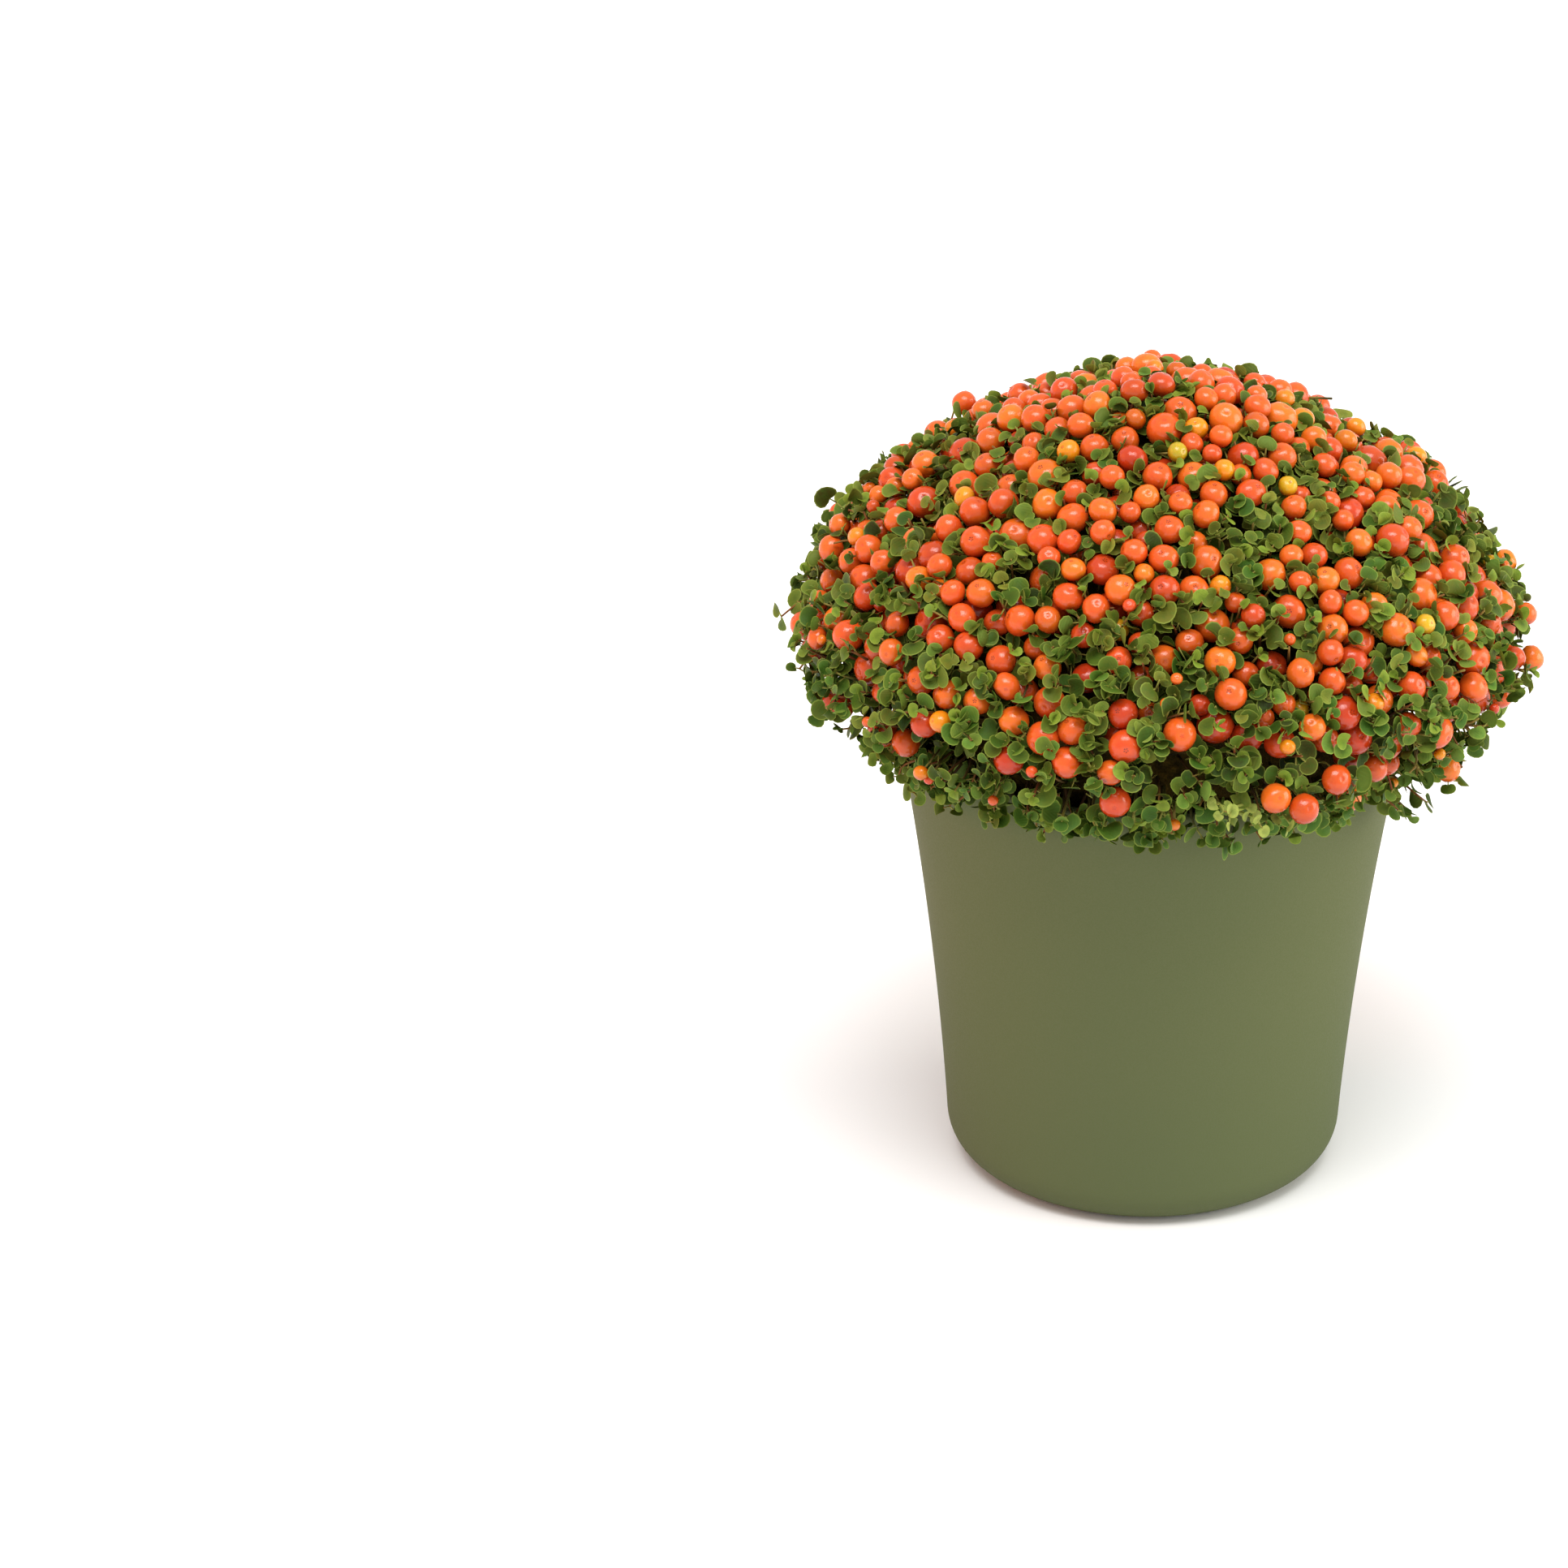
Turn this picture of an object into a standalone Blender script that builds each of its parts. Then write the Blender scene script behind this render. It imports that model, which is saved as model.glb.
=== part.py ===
"""Coral bead plant in a plain round pot.

The pot is a turned shell, filled with soil. Seven tufts of the creeping plant stand in holes in the
soil: one crown in the middle and a ring of six that hang over the rim. Each tuft is one solid: a core
with low relief, with leaf pairs, berries and loose stems fused to it. Metres, +Z up, origin at the
middle of the pot's foot, and the side that is seen first faces -Y.
"""

import math
import random

import bmesh
import bpy
from mathutils import Matrix, Vector, noise
from mathutils.bvhtree import BVHTree

# Pot: the outer wall's radius at height z is FOOT_RADIUS + WALL_SLOPE * z + WALL_FLARE * z * z
POT_HEIGHT = 0.120
FOOT_RADIUS = 0.0482
WALL_SLOPE = 0.0586
WALL_FLARE = 0.536
FOOT_ROUNDING = 0.0106
WALL_THICKNESS = 0.0025
FLOOR_THICKNESS = 0.003
INNER_ROUNDING = 0.008
POT_SIDES = 40
SOIL_SIDES = 20
OUTER_FOOT_STEPS = 4
INNER_FOOT_STEPS = 2
WALL_STEPS = 3
RIM_STEPS = 3
SMOOTH_ANGLE = math.radians(40)

# Clearance between pieces that touch on the real plant
GAP = 0.0003

# Soil
SOIL_BELOW_RIM = 0.008
PLUG_RADIUS = 0.0088
PLUG_DEPTH = 0.020
PLUG_SIDES = 8
PLUG_OVERLAP = 0.002

# Cushion of foliage: its cores, without the leaves and berries that stand out of them
CORE_RADIUS = 0.0830
CORE_WIDEST_Z = 0.1390
CORE_TOP_Z = 0.2005
SHOULDER_POWER = 1.5
SKIRT_RADIUS = 0.0675
SKIRT_Z = 0.1165
SKIRT_INNER_RADIUS = 0.0645
RIM_CLEARANCE = 0.0015
NECK_RADIUS = 0.0575
CROWN_RADIUS = 0.0340
CUSHION_SHIFT_X = 0.0015
RING_TUFTS = 6
RING_PLUG_RADIUS = 0.0455
TUFT_GAP = 0.0005

# Relief of the cores
GROOVE_DEPTH = 0.0035
GROOVE_WIDTH = 0.0060
CLUMP_HEIGHT = 0.0032
CLUMP_SIZE = 0.032
KNOB_HEIGHT = 0.0042
KNOB_SIZE = 0.0075
LIP_FADE = 0.008
LIP_BARE = 0.0025
UP_AT_LIP = -0.55
UP_AT_TOP = 1.05
RISE_STEPS = 9
SKIRT_STEPS = 4
SWEEP_STEPS = 9
CROWN_RINGS = 4
CROWN_SIDES = 18

# Leaves: round cupped blades, twice life size because they stand for the whole leaf cover.
# A pair has two blades and a rosette four, joined in the middle on a short pointed stalk. The edge
# of a blade is an arc that leaves a notch at its base; a rosette's blades share their base points.
LEAF_THICKNESS = 0.0008
LEAF_CUP = 0.0014
LEAF_HEIGHT = 0.0020
LEAF_CLEARANCE = 0.0004
LEAF_SPREAD = 0.10
STALK_DEPTH = 0.0045
STALK_CLEARANCE = 0.0012
STALK_CHECKS = (0.3, 0.6, 1.0)
BLADE_POINTS = 6
PAIR = {"blades": 2, "shared": False, "radius": 0.0051, "reach": 0.0055, "arc": 155, "rise": 22}
ROSETTE = {"blades": 4, "shared": True, "radius": 0.0036, "reach": 0.0049, "arc": 128, "rise": 20}
LEAF_ROSETTES = 16
LEAF_PAIRS = 106

# Berries, at true size
BERRY_RADIUS = 0.00365
BERRY_SPREAD = 0.16
BERRY_SQUASH = 0.93
BERRY_STANDING = 0.42
BERRY_SIDES = 7
BERRY_LATITUDES = (48, 6, -55)
BERRIES = 90
CROWN_BERRY_SPACING = 0.0150
SKIRT_BERRY_SPACING = 0.0240
SPACING_POWER = 0.5

# Loose stems at the edge: azimuth in degrees from +X, height of the root, reach out and drop
STEM_RADIUS = 0.0008
STEM_SIDES = 5
STEM_STEPS = 5
STEM_ROOT_DEPTH = 0.004
STEM_LEAF_SCALE = 0.72
STEM_LEAF_LEAN = 0.4
STEM_BERRY_SCALE = 0.85
STEM_BERRY_SINK = 0.6
LOOSE_STEMS = (
    {"azimuth": -22, "root_z": 0.124, "reach": 0.015, "drop": 0.010, "berry": True},
    {"azimuth": 14, "root_z": 0.137, "reach": 0.010, "drop": 0.004, "berry": True},
    {"azimuth": 98, "root_z": 0.128, "reach": 0.012, "drop": 0.009, "berry": True},
    {"azimuth": 196, "root_z": 0.130, "reach": 0.011, "drop": 0.006, "berry": False},
)

# Planting: places are found along random directions from the middle of the cushion, and what is
# planted stands out along a mean of that direction and the core's own face
SEED = 71
UP = Vector((0.0, 0.0, 1.0))
CUSHION_MIDDLE = Vector((CUSHION_SHIFT_X, 0.0, 0.133))
LOWEST_DIRECTION_Z = -0.42
DIRECTION_WEIGHT = 1.5
PROBE = Vector((0.31, 0.17, 0.94)).normalized()
PROBE_STEP = 1e-6
PLACEMENT_TRIES = 30000
MERGE_DISTANCE = 1e-6

# Material name, colour and roughness of each kind of surface
MATERIALS = {
    "pot": ("pot_green", (0.138, 0.165, 0.076), 0.55),
    "soil": ("potting_soil", (0.045, 0.028, 0.017), 0.95),
    "root": ("roots", (0.055, 0.034, 0.020), 0.90),
    "leaf": ("leaf_green", (0.070, 0.165, 0.032), 0.50),
    "berry": ("coral_berry", (0.860, 0.125, 0.030), 0.25),
}


def clear_scene():
    for thing in list(bpy.data.objects):
        bpy.data.objects.remove(thing, do_unlink=True)


def make_material(name, colour, roughness):
    material = bpy.data.materials.new(name)
    material.use_nodes = True
    shader = material.node_tree.nodes["Principled BSDF"]
    shader.inputs["Base Color"].default_value = (*colour, 1.0)
    shader.inputs["Roughness"].default_value = roughness
    shader.inputs["Metallic"].default_value = 0.0
    return material


def add_object(name, shape, material, collection=None):
    """Turns a bmesh into an object with outward faces, and frees the bmesh."""
    bmesh.ops.recalc_face_normals(shape, faces=shape.faces)
    mesh = bpy.data.meshes.new(name)
    shape.to_mesh(mesh)
    shape.free()
    mesh.materials.append(material)
    thing = bpy.data.objects.new(name, mesh)
    (collection or bpy.context.scene.collection).objects.link(thing)
    return thing


def shade_round(thing):
    thing.data.shade_smooth()
    thing.data.set_sharp_from_angle(angle=SMOOTH_ANGLE)


def arc(centre, radius, start, end, steps):
    """Points (r, z) along an arc about centre, both ends included."""
    angles = [start + (end - start) * step / steps for step in range(steps + 1)]
    return [(centre[0] + radius * math.cos(a), centre[1] + radius * math.sin(a)) for a in angles]


def pot_radius(z):
    return FOOT_RADIUS + WALL_SLOPE * z + WALL_FLARE * z * z


def heights(low, high, steps):
    return [low + (high - low) * step / steps for step in range(1, steps)]


def turned(profile, sides):
    """A closed turned solid from (r, z) points, whose first and last rings are capped flat."""
    shape = bmesh.new()
    rings = []
    for radius, z in profile:
        turns = (2 * math.pi * side / sides for side in range(sides))
        rings.append([shape.verts.new((radius * math.cos(a), radius * math.sin(a), z)) for a in turns])
    for lower, upper in zip(rings, rings[1:]):
        for side in range(sides):
            after = (side + 1) % sides
            shape.faces.new((lower[side], lower[after], upper[after], upper[side]))
    shape.faces.new(rings[0])
    shape.faces.new(rings[-1])
    return shape


def foot_arc(rounding, offset, floor_z, steps):
    """The rounding between a flat floor and the wall line that lies offset inside the outer wall."""
    wall_angle = math.atan(WALL_SLOPE)
    centre = (pot_radius(floor_z + rounding) - offset - rounding, floor_z + rounding)
    return arc(centre, rounding, -math.pi / 2, -wall_angle, steps)


def build_pot(material):
    outer_foot = foot_arc(FOOT_ROUNDING, 0.0, 0.0, OUTER_FOOT_STEPS)
    inner_foot = foot_arc(INNER_ROUNDING, WALL_THICKNESS, FLOOR_THICKNESS, INNER_FOOT_STEPS)
    outer_wall = [(pot_radius(z), z) for z in heights(FOOT_ROUNDING, POT_HEIGHT, WALL_STEPS)]
    inner_wall = [
        (pot_radius(z) - WALL_THICKNESS, z)
        for z in heights(FLOOR_THICKNESS + INNER_ROUNDING, POT_HEIGHT, WALL_STEPS)
    ]
    half_wall = WALL_THICKNESS / 2
    rim_centre = (pot_radius(POT_HEIGHT) - half_wall, POT_HEIGHT - half_wall)
    rim = arc(rim_centre, half_wall, 0.0, math.pi, RIM_STEPS)
    profile = outer_foot + outer_wall + rim + inner_wall[::-1] + inner_foot[::-1]
    pot = add_object("pot", turned(profile, POT_SIDES), material)
    shade_round(pot)
    return pot


def soil_top():
    return POT_HEIGHT - SOIL_BELOW_RIM


def plug_places():
    """Where each tuft's roots go into the soil: the crown first, then the ring."""
    turns = (ring_azimuth(index) for index in range(RING_TUFTS))
    ring = [(RING_PLUG_RADIUS * math.cos(a), RING_PLUG_RADIUS * math.sin(a)) for a in turns]
    return [(0.0, 0.0)] + ring


def ring_azimuth(index):
    """The ring starts with the tuft that faces -Y."""
    return 2 * math.pi * index / RING_TUFTS - math.pi / 2


def build_plug(place, radius, bottom, top):
    shape = bmesh.new()
    bmesh.ops.create_cone(
        shape,
        cap_ends=True,
        segments=PLUG_SIDES,
        radius1=radius,
        radius2=radius,
        depth=top - bottom,
        matrix=Matrix.Translation((place[0], place[1], (top + bottom) / 2)),
    )
    return shape


def build_soil(material):
    offset = WALL_THICKNESS + GAP
    floor_z = FLOOR_THICKNESS + GAP
    top = soil_top()
    foot = foot_arc(INNER_ROUNDING, offset, floor_z, INNER_FOOT_STEPS)
    levels = heights(floor_z + INNER_ROUNDING, POT_HEIGHT, WALL_STEPS)
    wall = [(pot_radius(z) - offset, z) for z in levels if z < top]
    profile = foot + wall + [(pot_radius(top) - offset, top)]
    soil = add_object("soil", turned(profile, SOIL_SIDES), material)
    holes = bpy.data.collections.new("holes")
    for place in plug_places():
        hole = build_plug(place, PLUG_RADIUS + GAP, top - PLUG_DEPTH, top + PLUG_OVERLAP)
        add_object("hole", hole, material, holes)
    apply_boolean(soil, holes, "DIFFERENCE")
    shade_round(soil)
    return soil


def apply_boolean(thing, collection, operation):
    """Joins or cuts a whole collection in one go, keeps the result, and removes the collection."""
    modifier = thing.modifiers.new("fuse", "BOOLEAN")
    modifier.operation = operation
    modifier.solver = "EXACT"
    modifier.material_mode = "TRANSFER"
    modifier.operand_type = "COLLECTION"
    modifier.collection = collection
    bpy.context.view_layer.update()
    graph = bpy.context.evaluated_depsgraph_get()
    result = bpy.data.meshes.new_from_object(thing.evaluated_get(graph))
    thing.modifiers.clear()
    thing.data = result
    for used in list(collection.objects):
        bpy.data.objects.remove(used, do_unlink=True)
    bpy.data.collections.remove(collection)


def shoulder_point(turn):
    """The cushion's upper outline: turn 0 at the widest place, a quarter turn at the top."""
    radius = CORE_RADIUS * math.cos(turn) ** SHOULDER_POWER
    return radius, CORE_WIDEST_Z + (CORE_TOP_Z - CORE_WIDEST_Z) * math.sin(turn)


def skirt_point(turn):
    """The outline below the widest place, where it curves in over the pot."""
    radius = SKIRT_RADIUS + (CORE_RADIUS - SKIRT_RADIUS) * math.cos(turn)
    return radius, CORE_WIDEST_Z - (CORE_WIDEST_Z - SKIRT_Z) * math.sin(turn)


def shoulder_turn(radius):
    return math.acos((radius / CORE_RADIUS) ** (1 / SHOULDER_POWER))


def relief(point, edge_distance):
    """How far the core's surface is raised at a point, with a groove along the tuft's edge."""
    clumps = CLUMP_HEIGHT * noise.noise(point / CLUMP_SIZE)
    knobs = KNOB_HEIGHT * noise.noise(point / KNOB_SIZE)
    groove = GROOVE_DEPTH * math.exp(-((edge_distance / GROOVE_WIDTH) ** 2))
    fade = min((point.z - SKIRT_Z) / LIP_FADE, 1.0)
    return fade * (clumps + knobs - groove)


def outward(radius, z, azimuth):
    """Unit vector out of the cushion, towards which leaves and relief stand."""
    flat = radius / CORE_RADIUS
    rise = (z - SKIRT_Z) / (CORE_TOP_Z - SKIRT_Z)
    side = Vector((math.cos(azimuth), math.sin(azimuth), 0.0))
    up = UP_AT_LIP + (UP_AT_TOP - UP_AT_LIP) * rise
    return (side * flat + UP * up).normalized()


def surface_point(radius, z, azimuth, edge_distance, upright):
    """A point of a core's outer surface, moved out by its relief, or straight up if upright."""
    plain = Vector((radius * math.cos(azimuth), radius * math.sin(azimuth), z))
    out = UP if upright else outward(radius, z, azimuth)
    return plain + out * relief(plain, edge_distance)


def ring_outline():
    """Outer points (r, z) of a ring tuft's section, from the crown's edge down to the skirt's lip."""
    inner = CROWN_RADIUS + TUFT_GAP / 2
    top_turn = shoulder_turn(inner)
    shoulder = [shoulder_point(top_turn * (1 - step / RISE_STEPS)) for step in range(RISE_STEPS + 1)]
    skirt = [skirt_point(math.pi / 2 * step / SKIRT_STEPS) for step in range(1, SKIRT_STEPS + 1)]
    return shoulder + skirt


def ring_underside():
    """The rest of the section: in under the skirt, over the rim, down inside the pot to the soil."""
    over_rim = POT_HEIGHT + RIM_CLEARANCE
    bottom = soil_top() + GAP
    inner = CROWN_RADIUS + TUFT_GAP / 2
    return [
        (SKIRT_INNER_RADIUS, SKIRT_Z + RIM_CLEARANCE),
        (SKIRT_INNER_RADIUS, over_rim),
        (NECK_RADIUS, over_rim),
        (NECK_RADIUS, bottom),
        (inner, bottom),
    ]


def build_ring_core(index):
    """One sixth of the cushion round the crown: its section swept through its share of the turn."""
    shape = bmesh.new()
    outline = ring_outline()
    underside = ring_underside()
    half_share = math.pi / RING_TUFTS
    sections = []
    for step in range(SWEEP_STEPS + 1):
        share = 2 * step / SWEEP_STEPS - 1
        section = []
        for radius, z in outline + underside:
            half = half_share - math.asin(TUFT_GAP / 2 / radius)
            azimuth = ring_azimuth(index) + share * half
            if len(section) < len(outline):
                side_distance = radius * half * (1 - abs(share))
                crown_distance = radius - CROWN_RADIUS
                edge = min(side_distance, crown_distance)
                point = surface_point(radius, z, azimuth, edge, not section)
            else:
                point = Vector((radius * math.cos(azimuth), radius * math.sin(azimuth), z))
            section.append(shape.verts.new(point + Vector((shift_x(point), 0.0, 0.0))))
        sections.append(section)
    count = len(sections[0])
    for section, following in zip(sections, sections[1:]):
        for spot in range(count):
            after = (spot + 1) % count
            shape.faces.new((section[spot], section[after], following[after], following[spot]))
    shape.faces.new(sections[0])
    shape.faces.new(sections[-1])
    return shape


def shift_x(point):
    """The cushion leans a little to one side above the rim."""
    if point.z <= POT_HEIGHT + RIM_CLEARANCE:
        return 0.0
    rise = (point.z - POT_HEIGHT) / (CORE_WIDEST_Z - POT_HEIGHT)
    return CUSHION_SHIFT_X * min(rise, 1.0)


def build_crown_core():
    """The middle tuft: a round column with a domed top."""
    shape = bmesh.new()
    rim = CROWN_RADIUS - TUFT_GAP / 2
    rings = []
    for ring in range(1, CROWN_RINGS + 1):
        radius = rim * ring / CROWN_RINGS
        z = shoulder_point(shoulder_turn(radius))[1]
        points = []
        for side in range(CROWN_SIDES):
            azimuth = 2 * math.pi * side / CROWN_SIDES
            point = surface_point(radius, z, azimuth, rim - radius, ring == CROWN_RINGS)
            points.append(shape.verts.new(point + Vector((shift_x(point), 0.0, 0.0))))
        rings.append(points)
    bottom = soil_top() + GAP
    foot = []
    for side in range(CROWN_SIDES):
        azimuth = 2 * math.pi * side / CROWN_SIDES
        foot.append(shape.verts.new((rim * math.cos(azimuth), rim * math.sin(azimuth), bottom)))
    rings.append(foot)
    top = surface_point(0.0, CORE_TOP_Z, 0.0, rim, True)
    peak = shape.verts.new(top + Vector((CUSHION_SHIFT_X, 0.0, 0.0)))
    for side in range(CROWN_SIDES):
        after = (side + 1) % CROWN_SIDES
        shape.faces.new((peak, rings[0][side], rings[0][after]))
        for inner, outer in zip(rings, rings[1:]):
            shape.faces.new((inner[side], outer[side], outer[after], inner[after]))
    shape.faces.new(foot)
    return shape


def blade_edge(kind, scale, turn):
    """Points round the edge of a blade that lies along turn, from its base and back to it."""
    rise = math.tan(math.radians(kind["rise"]))
    radius = kind["radius"] * scale
    points = []
    for spot in range(BLADE_POINTS):
        angle = math.radians(kind["arc"]) * (2 * spot / (BLADE_POINTS - 1) - 1)
        along = kind["reach"] * scale + radius * math.cos(angle)
        flat = Matrix.Rotation(turn, 2) @ Vector((along, radius * math.sin(angle)))
        cup = LEAF_CUP * (1 + math.cos(angle)) / 2
        points.append(Vector((flat.x, flat.y, LEAF_HEIGHT + along * rise + cup)))
    return points


def blade_turns(kind):
    return [2 * math.pi * blade / kind["blades"] for blade in range(kind["blades"])]


def leaves_shape(kind, scales):
    """Cupped blades round a short stalk that ends in a point below the origin; +Z is out."""
    shape = bmesh.new()
    shared = kind["shared"]
    layers = []
    for drop in (0.0, LEAF_THICKNESS):
        down = Vector((0.0, 0.0, drop))
        blades = []
        for turn, scale in zip(blade_turns(kind), scales):
            edge = blade_edge(kind, scale, turn)
            if shared:
                edge.pop()
            blades.append([shape.verts.new(point - down) for point in edge])
        rim = [point for blade in blades for point in blade]
        hub = [blade[0] for blade in blades]
        if shared:
            blades = [blade + [after[0]] for blade, after in zip(blades, blades[1:] + blades[:1])]
        else:
            hub = [blade[end] for blade in blades for end in (0, -1)]
        for blade in blades:
            add_strip(shape, blade)
        layers.append((rim, hub))
    (upper, upper_hub), (lower, lower_hub) = layers
    for spot, point in enumerate(upper):
        after = (spot + 1) % len(upper)
        shape.faces.new((point, upper[after], lower[after]))
        shape.faces.new((point, lower[after], lower[spot]))
    shape.faces.new(upper_hub)
    tip = shape.verts.new((0.0, 0.0, -STALK_DEPTH))
    for spot, point in enumerate(lower_hub):
        shape.faces.new((point, lower_hub[(spot + 1) % len(lower_hub)], tip))
    return shape


def add_strip(shape, blade):
    """Fills a blade with triangles that run across it, so both of its faces are split alike."""
    for spot in range(len(blade) // 2 - 1):
        left, left_after = blade[spot], blade[spot + 1]
        right, right_after = blade[-1 - spot], blade[-2 - spot]
        shape.faces.new((left, left_after, right_after))
        shape.faces.new((left, right_after, right))


def berry_shape(radius):
    """A slightly flattened ball with +Z out and its centre on the origin, cut flat where it is sunk."""
    shape = bmesh.new()
    rings = []
    for latitude in BERRY_LATITUDES:
        height = radius * BERRY_SQUASH * math.sin(math.radians(latitude))
        around = radius * math.cos(math.radians(latitude))
        turns = (2 * math.pi * side / BERRY_SIDES for side in range(BERRY_SIDES))
        ring = [(around * math.cos(turn), around * math.sin(turn), height) for turn in turns]
        rings.append([shape.verts.new(point) for point in ring])
    tip = shape.verts.new((0.0, 0.0, radius * BERRY_SQUASH))
    for side in range(BERRY_SIDES):
        after = (side + 1) % BERRY_SIDES
        shape.faces.new((tip, rings[0][side], rings[0][after]))
        for upper, lower in zip(rings, rings[1:]):
            shape.faces.new((upper[side], lower[side], lower[after], upper[after]))
    shape.faces.new(rings[-1])
    return shape


def stem_shape(points, radius):
    """A thin round stem along points, closed at both ends."""
    shape = bmesh.new()
    rings = []
    for spot, point in enumerate(points):
        ahead = points[min(spot + 1, len(points) - 1)]
        behind = points[max(spot - 1, 0)]
        frame = (ahead - behind).to_track_quat("Z", "Y").to_matrix()
        ring = []
        for side in range(STEM_SIDES):
            turn = 2 * math.pi * side / STEM_SIDES
            rim = Vector((radius * math.cos(turn), radius * math.sin(turn), 0.0))
            ring.append(shape.verts.new(point + frame @ rim))
        rings.append(ring)
    for ring, following in zip(rings, rings[1:]):
        for side in range(STEM_SIDES):
            after = (side + 1) % STEM_SIDES
            shape.faces.new((ring[side], ring[after], following[after], following[side]))
    shape.faces.new(rings[0])
    shape.faces.new(rings[-1])
    return shape


def stand_on(point, out, spin):
    """Matrix that puts a shape's origin on a point with its +Z along out, turned by spin."""
    turn = out.to_track_quat("Z", "Y").to_matrix().to_4x4()
    return Matrix.Translation(point) @ turn @ Matrix.Rotation(spin, 4, "Z")


def is_inside(tree, point):
    """Whether a ray from the point leaves the closed surface an odd number of times."""
    inside = False
    place = point
    while place is not None:
        place = tree.ray_cast(place + PROBE * PROBE_STEP, PROBE)[0]
        inside = inside != (place is not None)
    return inside


class Cushion:
    """The tufts' cores, with what has been planted on each so far."""

    def __init__(self, materials, keep_clear):
        self.random = random.Random(SEED)
        self.keep_clear = keep_clear
        self.materials = materials
        self.cores = [build_crown_core()]
        self.cores += [build_ring_core(index) for index in range(RING_TUFTS)]
        for core in self.cores:
            bmesh.ops.recalc_face_normals(core, faces=core.faces)
        self.trees = [BVHTree.FromBMesh(core) for core in self.cores]
        self.collections = [bpy.data.collections.new("tuft") for _ in self.cores]
        self.balls = []
        self.berries = []

    def hit(self, direction, middle=CUSHION_MIDDLE):
        """The outermost core surface along a direction: its tuft, the place and the face's normal."""
        start = middle + direction * 2 * CORE_RADIUS
        found = []
        for index, tree in enumerate(self.trees):
            place, normal, _, distance = tree.ray_cast(start, -direction)
            if place is not None:
                found.append((distance, index, place, normal))
        if not found:
            return None
        return min(found, key=lambda entry: entry[0])[1:]

    def random_direction(self):
        z = self.random.uniform(LOWEST_DIRECTION_Z, 1.0)
        azimuth = self.random.uniform(0.0, 2 * math.pi)
        flat = math.sqrt(max(0.0, 1 - z * z))
        return Vector((flat * math.cos(azimuth), flat * math.sin(azimuth), z))

    def is_clear(self, balls, tuft):
        """Whether balls miss those planted before: with their full reach where the tufts differ."""
        for centre, radius, reach in balls:
            for other, other_radius, other_reach, other_tuft in self.balls:
                room = radius + other_radius if tuft == other_tuft else reach + other_reach
                if (centre - other).length < room + GAP:
                    return False
        return True

    def clears_others(self, points, reach, tuft):
        """Whether points lie outside the pot, the soil and every core but one, further than reach."""
        others = [tree for index, tree in enumerate(self.trees) if index != tuft]
        for tree in others + self.keep_clear:
            for point in points:
                if tree.find_nearest(point, reach)[0] is not None or is_inside(tree, point):
                    return False
        return True

    def plant(self, shape, name, material, tuft, balls):
        add_object(name, shape, self.materials[material], self.collections[tuft])
        self.balls += [(*ball, tuft) for ball in balls]

    def plant_berry(self, place, out, tuft):
        radius = BERRY_RADIUS * (1 + self.random.uniform(-BERRY_SPREAD, BERRY_SPREAD))
        centre = place + out * radius * BERRY_STANDING
        spacing = self.berry_spacing(place.z)
        if any((centre - other).length < spacing for other in self.berries):
            return False
        if not self.is_clear([(centre, radius, radius)], tuft):
            return False
        if not self.clears_others([centre], radius + GAP, tuft):
            return False
        shape = berry_shape(radius)
        bmesh.ops.transform(shape, matrix=stand_on(centre, out, 0.0), verts=shape.verts)
        self.plant(shape, "berry", "berry", tuft, [(centre, radius, radius)])
        self.berries.append(centre)
        return True

    def berry_spacing(self, z):
        """Berries crowd on top and thin out towards the skirt."""
        share = min(max((z - SKIRT_Z) / (CORE_TOP_Z - SKIRT_Z), 0.0), 1.0)
        drop = SKIRT_BERRY_SPACING - CROWN_BERRY_SPACING
        return SKIRT_BERRY_SPACING - drop * share**SPACING_POWER

    def plant_leaves(self, kind, place, out, tuft, scale=1.0):
        turns = blade_turns(kind)
        scales = [scale * (1 + self.random.uniform(-LEAF_SPREAD, LEAF_SPREAD)) for _ in turns]
        matrix = stand_on(place, out, self.random.uniform(0.0, 2 * math.pi))
        balls = []
        for turn, size in zip(turns, scales):
            edge = [matrix @ point for point in blade_edge(kind, size, turn)]
            centre = sum(edge, Vector()) / len(edge)
            reach = max((point - centre).length for point in edge) + LEAF_THICKNESS
            balls.append((centre, kind["radius"] * size, reach))
        if not self.is_clear(balls, tuft):
            return False
        stalk = [place - out * STALK_DEPTH * share for share in STALK_CHECKS]
        if not self.clears_others(stalk, STALK_CLEARANCE, tuft):
            return False
        shape = leaves_shape(kind, scales)
        bmesh.ops.transform(shape, matrix=matrix, verts=shape.verts)
        if not self.clears_others([vert.co for vert in shape.verts], LEAF_CLEARANCE, tuft):
            shape.free()
            return False
        self.plant(shape, "leaves", "leaf", tuft, balls)
        return True

    def plant_pair(self, place, out, tuft):
        return self.plant_leaves(PAIR, place, out, tuft)

    def plant_rosette(self, place, out, tuft):
        return self.plant_leaves(ROSETTE, place, out, tuft)

    def scatter(self, plant_one, wanted):
        """Tries random places until enough are planted or the tries run out."""
        planted = 0
        for _ in range(PLACEMENT_TRIES):
            if planted == wanted:
                return
            direction = self.random_direction()
            found = self.hit(direction)
            if found is None:
                continue
            tuft, place, normal = found
            if place.z < SKIRT_Z + LIP_BARE:
                continue
            out = (normal + direction * DIRECTION_WEIGHT).normalized()
            planted += plant_one(place, out, tuft)

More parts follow.
